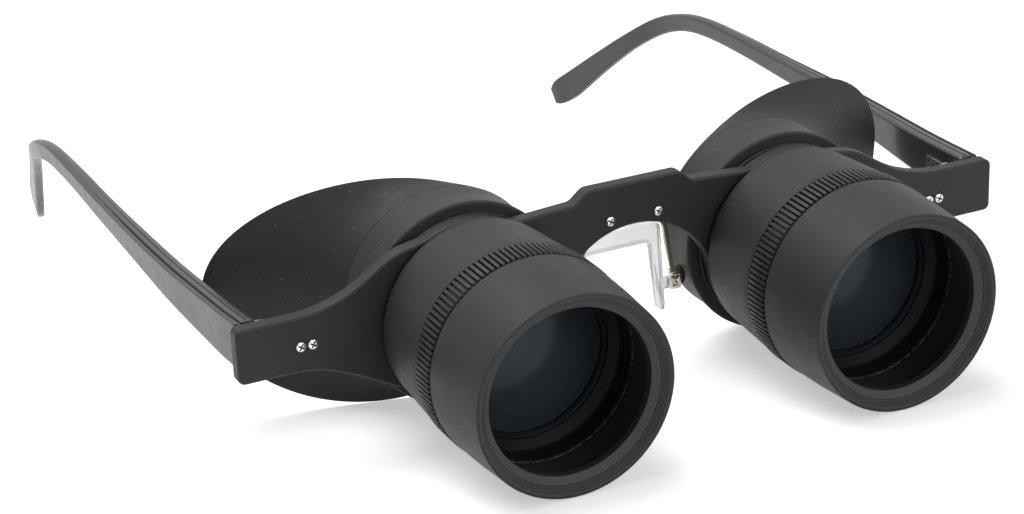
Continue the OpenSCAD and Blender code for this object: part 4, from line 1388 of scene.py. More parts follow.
@dataclass
class ObjectiveCell:
    """The tube inside the hood with the objective lens, its ring and the guide key."""

    side: Side
    back: float = 14.4
    head_back: float = 24.4
    front: float = 30.4
    skirt_r: float = 17.44
    head_r: float = 19.25
    head_in_r: float = 18.6
    bore_r: float = 16.64
    slope_back: float = 24.6
    slope_len: float = 1.7
    lens_r: float = 16.6
    lens_back: float = 19.4
    lens_front: float = 22.9
    ledge_r: float = 15.64
    ledge_back: float = 17.9
    ring_front: float = 24.4
    open_r: float = 15.54
    front_curve: float = 62.0
    back_curve: float = 95.0
    head_edge: float = 0.25
    head_groove: float = 0.22
    ring_gap: float = 0.02
    ring_slope: Point = (0.42, 0.5)
    segments: int = 192

    def cell(self) -> bpy.types.Object:
        """Makes the tube with a step inside its head.

        Returns:
            The tube.
        """
        head_middle = (self.head_r + self.head_in_r) / 2
        outline = rounded([
            (self.bore_r, self.back, 0.1),
            (self.skirt_r, self.back, 0.15),
            (self.skirt_r, self.head_back, 0.0),
            (self.head_r, self.head_back, 0.12),
            (self.head_r, self.front, 0.1),
            (self.head_r - self.head_edge, self.front, 0.06),
            (head_middle, self.front - self.head_groove, 0.05),
            (self.head_in_r + self.head_edge, self.front, 0.06),
            (self.head_in_r, self.front, 0.1),
            (self.head_in_r, self.slope_back + self.slope_len, 1.2),
            (self.bore_r, self.slope_back, 0.1),
            (self.bore_r, self.lens_back, 0.0),
            (self.ledge_r, self.lens_back, 0.08),
            (self.ledge_r, self.ledge_back, 0.08),
            (self.bore_r, self.ledge_back, 0.0),
        ])
        return lathe(outline, self.side.node("lens_cell"), segments=self.segments)

    def lens(self) -> bpy.types.Object:
        """Makes the objective lens, bulged on both sides.

        Returns:
            The lens.
        """
        faces = (self.back_curve, self.front_curve)
        lens = Lens(self.lens_r, self.open_r, self.lens_back, self.lens_front, *faces)
        return lens.shape(self.side.node("front_lens"))

    def retainer(self) -> bpy.types.Object:
        """Makes the threaded ring in front of the lens.

        Returns:
            The ring.
        """
        seat = self.lens_front + self.ring_gap
        outline = rounded([
            (self.ledge_r, seat, 0.0),
            (self.lens_r, seat, 0.0),
            (self.lens_r, self.ring_front, 0.1),
            (self.ledge_r + self.ring_slope[0], self.ring_front, 0.1),
            (self.ledge_r, self.ring_front - self.ring_slope[1], 0.1),
        ])
        return lathe(outline, self.side.node("lens_retainer"), segments=self.segments)

    def build(self) -> list[bpy.types.Object]:
        """Makes the pieces of the cell and dresses the guide key.

        Returns:
            The pieces of the sub-assembly.
        """
        body = self.side.node("cell")
        made = []
        for piece, slot, node in (
            (self.cell(), "cell_plastic", "objective_cell"),
            (self.lens(), "objective_glass", "objective_lens"),
            (self.retainer(), "cell_plastic", "objective_ring"),
        ):
            piece.location = DATUM.barrel_origin(self.side)
            made.append(seated(piece, slot, body, self.side.node(node)))
        made.append(redressed(self.side.node("guide_key"), "key_brass"))
        return made


@dataclass
class Eyepiece:
    """The black tube behind the plate with its flange, eye lens and lens ring."""

    side: Side
    tube_front: float = 5.7
    tube_r: float = 14.4
    plate_back: float = -3.3
    flange_r: float = 19.4
    flange_back: float = -8.0
    groove_r: float = 18.4
    groove_front: float = -4.2
    groove_back: float = -6.2
    bore_r: float = 12.54
    hole_r: float = 11.4
    lens_r: float = 12.5
    lens_front: float = 4.5
    lens_back: float = 0.1
    open_r: float = 11.3
    curve: float = 52.0
    ring_back: float = -1.3
    ring_gap: float = 0.02
    ring_slope: Point = (0.45, 0.4)
    wrench_half_w: float = 0.62
    wrench_depth: float = 0.45
    back_rings: Point = (17.2, 15.6)
    back_ring_w: float = 0.3
    back_ring_depth: float = 0.16
    mouth_slope: float = 1.2

    def tube(self) -> bpy.types.Object:
        """Makes the tube and flange, with two rings turned into the flange's back.

        Returns:
            The tube.
        """
        corners = [
            (self.hole_r, self.tube_front, 0.15),
            (self.tube_r, self.tube_front, 0.2),
            (self.tube_r, self.plate_back, 0.0),
            (self.flange_r, self.plate_back, 0.15),
            (self.flange_r, self.groove_front, 0.12),
            (self.groove_r, self.groove_front, 0.1),
            (self.groove_r, self.groove_back, 0.1),
            (self.flange_r, self.groove_back, 0.12),
            (self.flange_r, self.flange_back, 0.4),
        ]
        for r in self.back_rings:
            corners += [
                (r, self.flange_back, 0.06),
                (r - self.back_ring_w / 2, self.flange_back + self.back_ring_depth, 0.05),
                (r - self.back_ring_w, self.flange_back, 0.06),
            ]
        corners += [
            (self.bore_r + self.mouth_slope, self.flange_back, 0.25),
            (self.bore_r, self.flange_back + self.mouth_slope, 0.3),
            (self.bore_r, self.lens_front, 0.0),
            (self.hole_r, self.lens_front, 0.1),
        ]
        return lathe(rounded(corners, steps=4), self.side.node("eyepiece_body"))

    def lens(self) -> bpy.types.Object:
        """Makes the eye lens, hollow on both sides."""
        lens = Lens(self.lens_r, self.open_r, self.lens_back, self.lens_front, -self.curve, -self.curve)
        return lens.shape(self.side.node("rear_lens"))

    def ring(self) -> bpy.types.Object:
        """Makes the ring behind the eye lens, with two slots for a wrench.

        Returns:
            The ring.
        """
        seat = self.lens_back - self.ring_gap
        outline = rounded([
            (self.hole_r, seat, 0.0),
            (self.lens_r, seat, 0.0),
            (self.lens_r, self.ring_back, 0.12),
            (self.hole_r + self.ring_slope[0], self.ring_back, 0.1),
            (self.hole_r, self.ring_back + self.ring_slope[1], 0.1),
        ], steps=4)

        def notch(radius: float, forward: float, angle: float) -> Point:
            """Sinks the ring's back where a slot crosses it."""
            in_slot = abs(radius * math.sin(angle)) < self.wrench_half_w
            return radius, max(forward, self.ring_back + self.wrench_depth) if in_slot else forward

        return lathe(outline, self.side.node("rear_lens_ring"), segments=240, reshape=notch)

    def build(self) -> list[bpy.types.Object]:
        """Makes the pieces of the eyepiece.

        Returns:
            The pieces of the sub-assembly.
        """
        made = []
        for piece, slot, node in (
            (self.tube(), "eyepiece_plastic", "eyepiece"),
            (self.lens(), "eye_glass", "eye_lens"),
            (self.ring(), "eyepiece_plastic", "eye_lens_ring"),
        ):
            piece.location = DATUM.barrel_origin(self.side)
            made.append(seated(piece, slot, "frame", self.side.node(node)))
        return made


@dataclass
class Eyecup:
    """A rubber eyecup: a collar on the eyepiece and a wing that flares to the temple."""

    side: Side
    collar_r: float = 21.6
    seam_r: float = 21.0
    seam_y: float = 15.6
    front_y: float = 4.3
    bead_r: float = 18.44
    bead_back_y: float = 6.16
    inner_r: float = 19.44
    flange_back_y: float = 8.0
    rim_half_w: float = 32.0
    rim_up: float = 21.5
    rim_down: float = 27.3
    rim_out: float = 11.4
    rim_rise: float = 1.6
    near_y: float = 16.6
    far_y: float = 35.5
    bend: float = 1.6
    wall: float = 1.5
    wing_pull: Point = (0.25, 0.62)
    wing_steps: int = 26
    inner_back: Point = (0.8, 0.6)
    lip_share: float = 0.42
    lip_steps: int = 8
    waist: float = 0.2
    waist_round: float = 14.0
    seam_bead: Point = (0.2, 0.8)
    seam_groove: Point = (0.28, 0.42)
    seat_break: float = 0.15
    seat_slope: Point = (0.25, 0.7)
    seat_end: float = 0.4
    turns: Point = (-3.5, 1.5)
    steps: int = 216
    crease: float = 50.0

    def oval_reach(self, a: float, half_h: float) -> float:
        """Distance from the barrel axis to an oval that stands off it.

        Args:
            a: direction in radians, from the temple side upward.
            half_h: half height of the oval.

        Returns:
            The distance in millimetres.
        """
        u = (math.cos(a) / self.rim_half_w, math.sin(a) / half_h)
        o = (self.rim_out / self.rim_half_w, self.rim_rise / half_h)
        qa = u[0] ** 2 + u[1] ** 2
        qb = -2 * (u[0] * o[0] + u[1] * o[1])
        qc = o[0] ** 2 + o[1] ** 2 - 1
        return (-qb + math.sqrt(qb * qb - 4 * qa * qc)) / (2 * qa)

    def rim_reach(self, a: float) -> float:
        """Distance of the rim from the barrel axis in a direction."""
        up = self.oval_reach(a, self.rim_up)
        return up if up * math.sin(a) > self.rim_rise else self.oval_reach(a, self.rim_down)

    def rim_depth(self, x: float) -> float:
        """Distance of the rim behind the plate.

        Args:
            x: place across the wing.

        Returns:
            The distance in millimetres.
        """
        share = max((x - self.rim_out + self.rim_half_w) / (2 * self.rim_half_w), 0.0)
        return self.near_y + (self.far_y - self.near_y) * share ** self.bend

    @staticmethod
    def arc(a: Vector, pull: Vector, b: Vector, count: int) -> list[Vector]:
        """Points on the plain curve between two ends that leans to one side.

        Args:
            a: the first end.
            pull: the point that it leans towards.
            b: the other end.
            count: number of pieces.

        Returns:
            The points, with both ends.
        """
        shares = [i / count for i in range(count + 1)]
        return [(1 - s) ** 2 * a + 2 * s * (1 - s) * pull + s * s * b for s in shares]

    def section(self, a: float) -> list[Point]:
        """Closed half section of the cup.

        Args:
            a: direction of the section in radians, from the temple side upward.

        Returns:
            Distance from the barrel axis and distance behind the plate of each point.
        """
        reach = self.rim_reach(a)
        depth = self.rim_depth(reach * math.cos(a))
        seam, rim = Vector((self.seam_r, self.seam_y)), Vector((reach, depth))
        out, back = self.wing_pull
        pull = seam + Vector((out * (reach - self.seam_r), back * (depth - self.seam_y)))
        outer = self.arc(seam, pull, rim, self.wing_steps)
        inward = [Vector((-self.wall, y)) for y in (*self.inner_back, 0.0)]
        inner = self.arc(*(p + shift for p, shift in zip((seam, pull, rim), inward)), self.wing_steps)
        along = (outer[-1] - outer[-2]).normalized()
        lip = []
        for k in range(1, self.lip_steps):
            t = math.pi * k / self.lip_steps
            swell = along * (self.wall * self.lip_share * math.sin(t))
            lip.append(rim + swell + Vector((-self.wall * (1 - math.cos(t)) / 2, 0.0)))
        waist = ((self.collar_r + self.seam_r) / 2 - self.waist, (self.front_y + self.seam_y) / 2)
        points = rounded([
            (self.bead_r, self.front_y, 0.15),
            (self.collar_r, self.front_y, 0.55),
            (*waist, self.waist_round),
            (self.seam_r + self.seam_bead[0], self.seam_y - self.seam_bead[1], 0.14),
            (self.seam_r - self.seam_groove[0], self.seam_y - self.seam_groove[1], 0.1),
            (self.seam_r, self.seam_y, 0.0),
            (self.bead_r, self.bead_back_y, 0.0),
        ], steps=4)[:-1]
        points += [tuple(p) for p in (*outer[1:], *lip, *reversed(inner))]
        points += [
            (self.inner_r + self.seat_slope[0], self.flange_back_y + self.seat_slope[1]),
            (self.inner_r, self.flange_back_y - self.seat_end),
            (self.inner_r, self.bead_back_y + self.seat_break),
            (self.inner_r - self.seat_break, self.bead_back_y),
            (self.bead_r, self.bead_back_y),
        ]
        return points

    def build(self) -> list[bpy.types.Object]:
        """Makes the cup.

        Returns:
            The pieces of the sub-assembly.
        """
        left_turn, right_turn = self.turns
        turn = math.radians(left_turn if self.side is Side.LEFT else right_turn)
        rows = []
        for i in range(self.steps):
            a = 2 * math.pi * i / self.steps
            across, up = self.side.value * math.cos(a + turn), math.sin(a + turn)
            rows.append([Vector((across * r, y, up * r)) * MM for r, y in self.section(a)])
        piece = finished(skin(rows, wrap=True), self.side.node("rubber_cup"), self.crease)
        piece.location = DATUM.barrel_origin(self.side)
        seated(piece, "eyecup_rubber", "frame", self.side.node("eyecup"))
        anchor = DATUM.barrel_origin(self.side) + Vector((0, self.front_y * MM, 0))
        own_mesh(piece)
        return [piece]


@dataclass
class Temple:
    """A folding temple with two grooves along its top and a bent, flattened tip."""

    side: Side
    inner_x: float = 80.1
    thickness: float = 4.4
    tip_thickness: float = 2.0
    corner: float = 0.9
    sharp_corner: float = 0.28
    grooves: tuple[tuple[float, float, float], ...] = ((-0.4, 0.15, 0.24), (1.2, 0.42, 0.5))
    groove_end: float = 112.0
    groove_fade: float = 50.0
    groove_floor: float = 0.5
    least_groove: float = 0.004
    crown: Point = (0.25, 0.75)
    fillet_share: float = 0.6
    rows_a_knot: int = 8
    root_rings: tuple[Point, ...] = ((0.5, 0.0), (0.28, 0.0), (0.1, 0.08), (0.0, 0.3))
    root_straight: float = 0.5
    run_reach: float = 0.25
    tip_rings: tuple[Point, ...] = ((0.14, 0.05), (0.45, 0.12))
    tip_slim: float = 0.8
    tip_rows: int = 10
    pocket_over: float = 1.0
    pocket_y: float = 6.16
    pocket_len: float = 10.08
    pocket_depth: float = 0.94
    pocket_z: float = 1.6
    pocket_half_h: float = 2.35
    left_flex: Point = (2.1, 1.7)
    right_flex: Point = (0.0, 0.0)
    bow_start: float = 12.0
    tail_start: float = 125.0
    path: tuple[tuple[float, float, float, float, float], ...] = (
        (0.0, 3.6, 2.4, 10.3, 0.0), (0.9, 20.0, 2.0, 9.1, 0.0), (2.2, 40.0, 2.0, 7.5, 0.05),
        (2.9, 62.0, 2.4, 5.7, 0.15), (2.8, 84.0, 2.4, 4.8, 0.3), (2.3, 104.0, 2.6, 4.4, 0.45),
        (1.7, 120.0, 2.1, 4.4, 0.6), (1.1, 131.0, 0.3, 4.4, 0.7), (-0.4, 141.2, -3.5, 4.6, 0.8),
        (-3.4, 151.5, -10.1, 4.8, 0.88), (-6.7, 163.0, -19.0, 5.9, 0.95), (-9.4, 172.5, -26.8, 7.1, 1.0),
        (-11.0, 177.5, -30.4, 6.6, 1.0), (-11.5, 179.2, -31.9, 4.8, 1.0),
    )

    def middle_line(self, t: float) -> tuple[float, float, float, float, float]:
        """Place, height and thinning of the temple with its own flex.

        Args:
            t: place, counted in knots of the path.

        Returns:
            Side offset, distance behind the plate, height, section height and share of the thinning.
        """
        side, y, z, height, thinning = smooth_through(self.path, t)
        bow, drop = self.left_flex if self.side is Side.LEFT else self.right_flex
        end = self.path[-1][1]
        length_share = max(0.0, y - self.bow_start) / (end - self.bow_start)
        tail_share = max(0.0, y - self.tail_start) / (end - self.tail_start)
        return side - bow * math.sin(math.pi * length_share), y, z - drop * tail_share, height, thinning

    def section(self, thickness: float, height: float, groove: float, inset: float) -> list[Point]:
        """Closed section of the temple: a flat bar with a crowned and grooved top.

        Args:
            thickness: side to side.
            height: from the lower to the upper edge.
            groove: share of the full depth of the grooves in the top.
            inset: how far the section is drawn in all round.

        Returns:
            Points across and up from the temple's middle line.
        """
        x, z = thickness / 2 - inset, height / 2 - inset
        fillet = min(self.corner, z * self.fillet_share, x * self.fillet_share)
        sharp = min(self.sharp_corner, fillet)
        narrow = x / (self.thickness / 2)
        corners: list[Corner] = [(-x, z, fillet)]
        for middle, half, depth in self.grooves:
            middle, half = middle * narrow, half * narrow
            low, floor = z - depth * groove - self.least_groove, half * self.groove_floor
            corners += [
                (middle - half, z, 0.1), (middle - floor, low, 0.08),
                (middle + floor, low, 0.08), (middle + half, z, 0.1),
            ]
        corners += [(x, z, sharp), (x, -z, fillet), (-x, -z, fillet)]
        crown = (self.crown[0] * groove + self.crown[1] * (1 - groove)) * narrow
        return [
            (u, v * (1 - crown * (u / x) ** 2 / z) if v > 0 else v)
            for u, v in rounded(corners, steps=5, hold=0.06, even=True)
        ]

    def ring(self, t: float, inset: float = 0.0, shift: float = 0.0, slim: float = 1.0) -> list[Vector]:
        """Ring of points round the temple at a place along its path.

        Args:
            t: place, counted in knots of the path.
            inset: how far the section is drawn in.
            shift: how far it is moved along the path.
            slim: share of the full thickness.

        Returns:
            The points in metres.
        """
        last = len(self.path) - 1
        side, y, z, height, thinning = self.middle_line(min(t, last))
        thickness = self.thickness - (self.thickness - self.tip_thickness) * thinning
        a = self.middle_line(max(t - self.run_reach, 0.0))
        b = self.middle_line(min(t + self.run_reach, last))
        run = Vector((b[1] - a[1], b[2] - a[2])).normalized()
        if t < self.root_straight:
            run = Vector((1.0, 0.0))
        fade = min(max((self.groove_end - y) / self.groove_fade, 0.0), 1.0)
        out = []
        for u, v in self.section(thickness * slim, height, fade, inset):
            x = self.inner_x + self.thickness - thickness / 2 + side + u
            spot = (y + shift * run.x - run.y * v, z + shift * run.y + run.x * v)
            out.append(DATUM.at(self.side.value * x, *spot))
        return out

    def build(self) -> list[bpy.types.Object]:
        """Makes the temple and cuts the bed of its hinge leaf.

        Returns:
            The pieces of the sub-assembly.
        """
        last = len(self.path) - 1
        count = last * self.rows_a_knot
        rows = [self.ring(0.0, inset, shift) for inset, shift in self.root_rings]
        for i in range(1, count + 1):
            late = max(i - (count - self.tip_rows), 0) / self.tip_rows
            rows.append(self.ring(last * i / count, slim=1 - (1 - self.tip_slim) * late))
        rows += [self.ring(last, inset, shift, self.tip_slim) for inset, shift in self.tip_rings]
        piece = finished(skin(rows, cap=True), self.side.node("temple_arm"))
        low = DATUM.at(self.inner_x - self.pocket_over, self.pocket_y, self.pocket_z - self.pocket_half_h)
        deep, high = self.pocket_over + self.pocket_depth, 2 * self.pocket_half_h
        size = Vector((deep, self.pocket_len, high)) * MM
        middle = low + size / 2
        middle.x *= self.side.value
        cut_block(piece, middle, size)
        return [seated(piece, "temple_plastic", self.side.node("temple"), self.side.node("temple"))]


@dataclass
class Rivet:
    """One rivet: a shank with a domed head at each end and a cross in the front head."""

    x: float
    z: float
    grip: float
    shank_r: float = 0.85
    head_r: float = 0.98
    dome: float = 0.35
    seat_r: float = 1.2
    seat_t: float = 0.03
    cross_turn: float = 0.5
    cross_half_w: float = 0.12
    cross_reach: float = 0.74
    cross_depth: float = 0.26
    cross_flank: float = 1.7
    cross_dark: float = 0.55
    dome_powers: Point = (0.8, 0.75)
    dome_steps: int = 14
    seat_gap: float = 0.02
    segments: int = 96

    def sink(self, radius: float, angle: float) -> float:
        """Share of the cross's full depth at a place on the head.

        Args:
            radius: distance from the rivet's axis.
            angle: direction in radians.

        Returns:
            The share, 0 outside the cross.
        """
        if radius > self.cross_reach * self.head_r:
            return 0.0
        turn = angle + self.cross_turn
        across = min(abs(radius * math.cos(turn)), abs(radius * math.sin(turn)))
        return min(max(self.cross_flank - across / self.cross_half_w, 0.0), 1.0)

    def shape(self, name: str) -> bpy.types.Object:
        """Makes the rivet with its axis at its own place.

        Args:
            name: name of the new piece.

        Returns:
            The rivet.
        """
        flank, crown = self.dome_powers
        front = []
        for k in range(self.dome_steps):
            a = math.pi / 2 * k / self.dome_steps
            front.append((self.head_r * math.cos(a) ** flank, self.dome * math.sin(a) ** crown))
        front.append((0.0, self.dome))
        back = [(r, -self.grip - f) for r, f in reversed(front)]
        outline = [(0.0, back[0][1])] + back[1:] + [
            (self.shank_r, -self.grip), (self.shank_r, 0.0), (self.seat_r, 0.0), (self.seat_r, self.seat_t),
            (self.head_r + self.seat_gap, self.seat_t),
        ] + front[1:]

        def crossed(radius: float, forward: float, angle: float) -> Point:
            """Sinks the cross into the front head.

            Args:
                radius: distance of a point from the axis.
                forward: its distance along the axis.
                angle: its direction in radians.

            Returns:
                The radius and distance that it moves to.
            """
            if forward <= self.seat_t:
                return radius, forward
            return radius, forward - self.cross_depth * self.sink(radius, angle)

        def in_shade(face: bpy.types.MeshPolygon) -> bool:
            """Tells whether a face lies in the cross or in the gap round the head, which take painted
            shade.

            Args:
                face: a face of the rivet.

            Returns:
                Whether it does.
            """
            middle = face.center / MM
            radius = math.hypot(middle.x, middle.z)
            crossed_here = self.sink(radius, math.atan2(middle.z, middle.x)) > self.cross_dark
            in_seat = radius > self.head_r and abs(middle.y) <= self.seat_t + self.seat_gap / 2
            return (crossed_here and middle.y < 0.0) or in_seat

        piece = lathe(outline, name, segments=self.segments, reshape=crossed)
        # The cross and the ring round the head take the dark plastic finish as painted shade in these
        # hollows.
        two_finishes(piece, ("rivet_steel", "eyepiece_plastic"), in_shade)
        piece.location = DATUM.at(self.x, 0.0, self.z)
        return piece


def joined(pieces: Sequence[bpy.types.Object], name: str) -> bpy.types.Object:
    """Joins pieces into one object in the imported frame.

    Args:
        pieces: the objects, which are removed.
        name: name of the new piece.

    Returns:
        The new piece.
    """
    bpy.context.view_layer.update()
    bm = bmesh.new()
    finishes = list(pieces[0].data.materials)
    for piece in pieces:
        mesh = piece.data.copy()
        mesh.transform(piece.matrix_world)
        bm.from_mesh(mesh)
        bpy.data.meshes.remove(mesh)
        bpy.data.objects.remove(piece)
    whole = finished(bm, name)
    for finish in finishes:
        whole.data.materials.append(finish)
    return whole


@dataclass
class Hinge:
    """A temple hinge: two leaves with three knuckles, a slotted screw and two rivets."""

    side: Side
    frame_end: float = 85.6
    rivet_inset: float = 14.25
    rivet_gap: float = 2.5
    rivet_z: float = 1.1
    plate_t: float = 3.3
    leaf_t: float = 0.9
    edge: float = 0.12

    def build(self) -> list[bpy.types.Object]:
        """Makes the hinge's pieces.

        Returns:
            The pieces of the sub-assembly.
        """
        made = []
        for stem, name, slot, body in (
            ("frame_leaf", "hinge_plate", "hinge_nickel", "frame"),
            ("temple_leaf", "hinge_inlay", "hinge_nickel", self.side.node("temple")),
            ("hinge_screw", "hinge_pin", "screw_steel", "frame"),
        ):
            node = self.side.node(stem)
            piece = softened(node, self.side.node(name), self.edge)
            made.append(seated(piece, slot, body, node))
        rivets = []
        for place in (-0.5, 0.5):
            x = self.frame_end - self.rivet_inset + place * self.rivet_gap
            rivet = Rivet(self.side.value * x, self.rivet_z, self.plate_t + self.leaf_t)
            rivets.append(rivet.shape(f"rivet_{place}"))
        piece = joined(rivets, self.side.node("end_rivets"))
        made.append(seated(piece, "rivet_steel", "frame", self.side.node("hinge_rivets")))
        return made


@dataclass
class NosePiece:
    """The two nose arms with their pad boxes and screws, and the clear saddle."""

    plate_t: float = 3.3
    rivet_x: float = 5.4
    rivet_z: float = 12.6
    arm_t: float = 0.8
    arm_edge: float = 0.13
    screw_edge: float = 0.08
    front_tilt: float = 0.6
    box_x: float = 13.2
    box_y: float = 8.7
    box_w: float = 2.6
    box_d: float = 2.4
    roll_top: float = -4.6
    fold_z: float = -6.15
    fold_h: float = 0.22
    fold_depth: float = 0.45
    fold_share: float = 0.8
    washer_r: float = 2.0
    washer_t: float = 0.6
    washer_z: float = -6.6
    washer_rim: float = 0.3
    washer_dip: float = 0.18
    washer_dip_shares: Point = (0.5, 0.42)
    saddle_y: tuple[float, float] = (7.2, 10.2)
    saddle_edge: float = 0.5
    bar_top: float = 7.2
    bar_low: float = 2.6
    top_half: float = 9.7
    foot_half: float = 10.6
    foot_z: float = -13.2
    foot_flare: float = 1.6
    foot_tuck: float = 0.1
    wall: float = 2.0
    tip_wall: float = 1.1
    lug_edge: float = 0.25
    lug_t: float = 1.32
    lug_x: tuple[float, float] = (9.05, 13.7)
    lug_z: tuple[float, float] = (-8.9, -6.6)

    def arms(self) -> list[bpy.types.Object]:
        """Makes the arms with their boxes and the screws in them.

        Returns:
            The arms and the screws.
        """
        made = []
        for side in Side:
            piece = softened(side.node("nose_arm"), side.node("pad_arm"), self.arm_edge)
            front = self.box_y - self.box_d / 2
            size = Vector((self.box_w * self.fold_share, 2 * self.fold_depth, self.fold_h)) * MM
            cut_block(piece, DATUM.at(side.value * self.box_x, front, self.fold_z), size)
            # The strips' fronts take the darker metal as a painted dark reflection.
            two_finishes(piece, ("arm_nickel", "arm_front_painted_shade"), self.on_strip_front)
            made.append(seated(piece, "arm_nickel", "frame", side.node("nose_arm")))
        screws = softened("pad_screws", "pad_screw_set", self.screw_edge)
        made.append(seated(screws, "screw_steel", "frame", "pad_screws"))
        return made

    def on_strip_front(self, face: bpy.types.MeshPolygon) -> bool:
        """Tells whether a face lies on the front of an arm's strip, above the roll, where a painted dark
        reflection goes.
        """
        roll_top = DATUM.at(0, 0, self.roll_top).z
        return face.normal.y < -self.front_tilt and face.center.z > roll_top

    def rivets(self) -> bpy.types.Object:
        """Makes the two rivets that hold the arms to the bridge.

        Returns:
            Both rivets as one piece.
        """
        grip = self.plate_t + self.arm_t
        pieces = [
            Rivet(side.value * self.rivet_x, self.rivet_z, grip).shape(side.node("rivet")) for side in Side
        ]
        return seated(joined(pieces, "bridge_rivets"), "rivet_steel", "frame", "nose_rivets")

    def washers(self) -> bpy.types.Object:
        """Makes a dark round disc on the outer side of each box, standing in for the box's round end in
        shade: painted shade.

        Returns:
            Both pads as one piece.
        """
        pieces = []
        radius, top = self.washer_r, self.washer_t
        dip_edge, dip_floor = (radius * share for share in self.washer_dip_shares)
        outline = rounded([
            (0.0, 0.0, 0.0), (radius - self.washer_rim, 0.0, 0.0), (radius, 0.1, 0.2),
            (radius, top, 0.25), (dip_edge, top, 0.1),
            (dip_floor, top - self.washer_dip, 0.1), (0.0, top - self.washer_dip, 0.0),
        ], steps=4)
        for side in Side:
            piece = lathe(outline, side.node("washer"), segments=48)
            piece.data.transform(Matrix.Rotation(side.value * math.pi / 2, 4, "Z"))
            piece.location = DATUM.at(side.value * (self.box_x + self.box_w / 2), self.box_y, self.washer_z)
            pieces.append(piece)
        # The discs take the black cell plastic as painted shade.
        return seated(joined(pieces, "pad_washers"), "cell_plastic", "frame")

    def saddle(self) -> bpy.types.Object:
        """Makes the clear one-piece saddle with a lug in each box.

        Returns:
            The saddle.
        """
        half = [
            (self.top_half, self.bar_top, 2.0), (self.foot_half, self.foot_z + self.foot_flare, 1.2),
            (self.foot_half - self.foot_tuck, self.foot_z, 0.5),
            (self.foot_half - self.tip_wall, self.foot_z, 0.5),
            (self.top_half - self.wall, self.bar_low, 1.2),
        ]
        outline = rounded(half + [(-x, z, r) for x, z, r in reversed(half)], steps=6, hold=0.3)
        piece = slab([outline], self.saddle_y, self.saddle_edge, "clear_saddle")
        low, high = self.lug_z
        half_t, edge = self.lug_t / 2, self.lug_edge
        corners = [(half_t, high, edge), (-half_t, high, edge), (-half_t, low, edge), (half_t, low, edge)]
        ring = rounded(corners, steps=3, hold=0.1)
        for side in Side:
            rows = [
                [DATUM.at(side.value * x, self.box_y + u, v) for u, v in ring]
                for x in (self.lug_x[0], sum(self.lug_x) / 2, self.lug_x[1])
            ]
            carve(piece, finished(skin(rows, cap=True), "lug_tool"), "UNION")
        return seated(piece, "saddle_silicone", "frame", "nose_saddle")

    def build(self) -> list[bpy.types.Object]:
        """Makes all pieces of the nose support."""
        return self.arms() + [self.rivets(), self.washers(), self.saddle()]


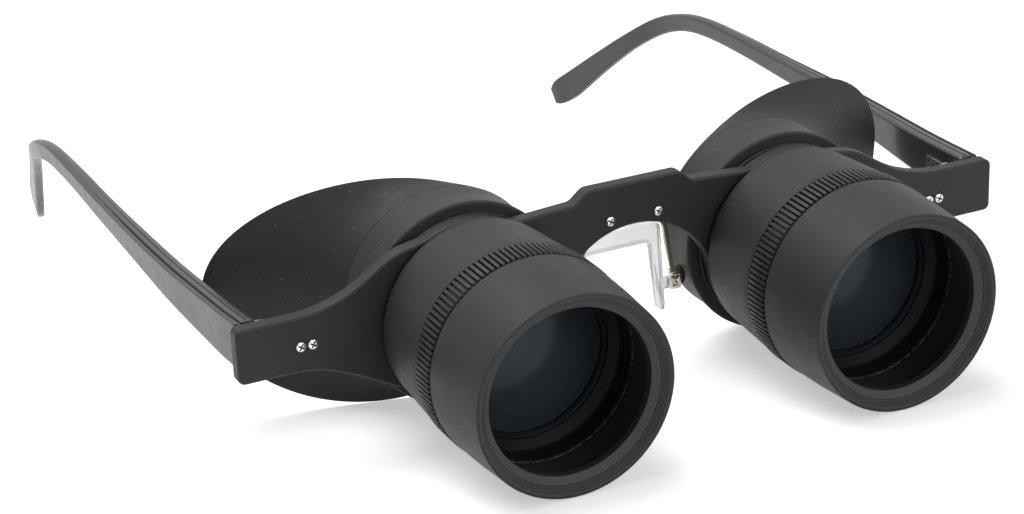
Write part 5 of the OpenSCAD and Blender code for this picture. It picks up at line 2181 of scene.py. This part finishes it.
@dataclass
class Studio:
    """The floor, the soft light and the camera of the photograph."""

    azimuth: float = -25.255
    elevation: float = 23.349
    roll: float = -2.224
    distance: float = 560.8
    target: Corner = (-27.389, 0.0, 9.828)
    lens: float = 100.64
    sensor: float = 36.0
    clip: Point = (0.02, 60.0)
    hood_bottom: Point = (-43.6, -20.45)
    cup_bottom: Point = (23.0, -26.4)
    floor_reach: float = 6.0
    floor_steps: int = 12
    floor_gap: float = 0.2
    floor_colour: Colour = (0.82, 0.82, 0.82)
    floor_shade: float = 0.985
    floor_roughness: float = 0.9
    floor_specular: float = 0.1
    floor_glow: float = 0.48
    cloud_scale: float = 0.004
    world_light: float = 0.2
    lamp_power: float = 12.6
    lamps: tuple[tuple[str, Corner, float, float], ...] = (
        ("top_softbox", (-0.25, 0.25, 1.0), 1.0, 0.9),
        ("front_softbox", (0.3, -1.2, 0.55), 0.55, 0.8),
        ("right_softbox", (0.9, -0.6, 0.8), 0.06, 0.3),
    )

    def camera(self) -> None:
        """Sets the camera where the photograph was taken from."""
        az, el, roll = (math.radians(v) for v in (self.azimuth, self.elevation, self.roll))
        back = Vector((math.sin(az) * math.cos(el), -math.cos(az) * math.cos(el), math.sin(el)))
        right = (-back).cross(Vector((0, 0, 1))).normalized()
        up = right.cross(-back)
        turned_right = right * math.cos(roll) + up * math.sin(roll)
        turned_up = -right * math.sin(roll) + up * math.cos(roll)
        data = bpy.data.cameras.new("photo_camera")
        data.lens = self.lens
        data.sensor_width = self.sensor
        data.sensor_fit = "HORIZONTAL"
        data.clip_start, data.clip_end = self.clip
        camera = bpy.data.objects.new("photo_camera", data)
        bpy.context.scene.collection.objects.link(camera)
        axes = Matrix((turned_right, turned_up, back)).transposed().to_4x4()
        camera.matrix_world = Matrix.Translation(DATUM.at(*self.target) + back * self.distance * MM) @ axes
        bpy.context.scene.camera = camera

    def floor(self) -> None:
        """Lays the floor under the hoods and the eyecups, which the glasses rest on."""
        front = DATUM.at(0, *self.hood_bottom)
        back = DATUM.at(0, *self.cup_bottom)
        run = back - front
        tilt = math.atan2(run.z, run.y)
        bm = bmesh.new()
        steps = self.floor_steps
        bmesh.ops.create_grid(bm, x_segments=steps, y_segments=steps, size=self.floor_reach)
        piece = finished(bm, "studio_floor")
        piece.rotation_euler = (tilt, 0.0, 0.0)
        piece.location = (front + back) / 2 - Vector((0.0, 0.0, self.floor_gap * MM))
        material, tree, shader = started("pale floor")
        join = tree.tree.links.new
        cloud = tree.effect(Effect.HANDLING, Scale=self.cloud_scale)
        colour = tree.blend(cloud["Shade"], shade(self.floor_colour, self.floor_shade), self.floor_colour)
        join(colour, shader.inputs["Base Color"])
        set_inputs(shader, {
            "Roughness": self.floor_roughness,
            "Specular IOR Level": self.floor_specular,
            "Emission Color": WHITE,
        })
        glow = tree.math("MULTIPLY", tree.seen_plainly(), self.floor_glow)
        join(glow, shader.inputs["Emission Strength"])
        piece.data.materials.append(material)

    def world(self) -> None:
        """Lights the scene from all round and shows white behind it."""
        world = bpy.data.worlds.new("white_studio")
        world.use_nodes = True
        bpy.context.scene.world = world
        tree = Tree(world.node_tree)
        strength = tree.span(tree.seen_plainly(), 0.0, 1.0, (self.world_light, 1.0))
        background = tree.add("Background", {"Color": WHITE, "Strength": strength})
        tree.add("OutputWorld", {0: background.outputs[0]})

    def lamp(self, name: str, place: Corner, power: float, size: float) -> None:
        """Hangs a soft square lamp that faces the glasses.

        Args:
            name: name of the lamp.
            place: where it hangs, in metres.
            power: its power in watts.
            size: its width in metres.
        """
        data = bpy.data.lights.new(name, "AREA")
        data.shape = "SQUARE"
        data.size = size
        data.energy = power
        lamp = bpy.data.objects.new(name, data)
        bpy.context.scene.collection.objects.link(lamp)
        lamp.location = place
        lamp.rotation_euler = (DATUM.at(0, 0, 0) - Vector(place)).to_track_quat("-Z", "Y").to_euler()

    def build(self) -> None:
        """Sets up the floor, the light and the camera."""
        bpy.context.scene.view_settings.view_transform = "Standard"
        self.world()
        self.floor()
        for name, place, share, size in self.lamps:
            self.lamp(name, place, self.lamp_power * share, size)
        self.camera()


def main() -> None:
    """Builds the sub-assemblies in order and reports each piece."""
    logging.basicConfig(level=logging.INFO, format="%(message)s")
    Studio().build()
    parts = [FramePlate(), NosePiece()]
    for side in Side:
        parts += [
            Barrel(side), FocusRing(side), Hood(side), ObjectiveCell(side), Eyepiece(side), Eyecup(side),
            Temple(side), Hinge(side),
        ]
    for part in parts:
        for piece in part.build():
            log.info("%s: %s, %d faces", type(part).__name__, piece.name, len(piece.data.polygons))


if __name__ == "__main__":
    main()
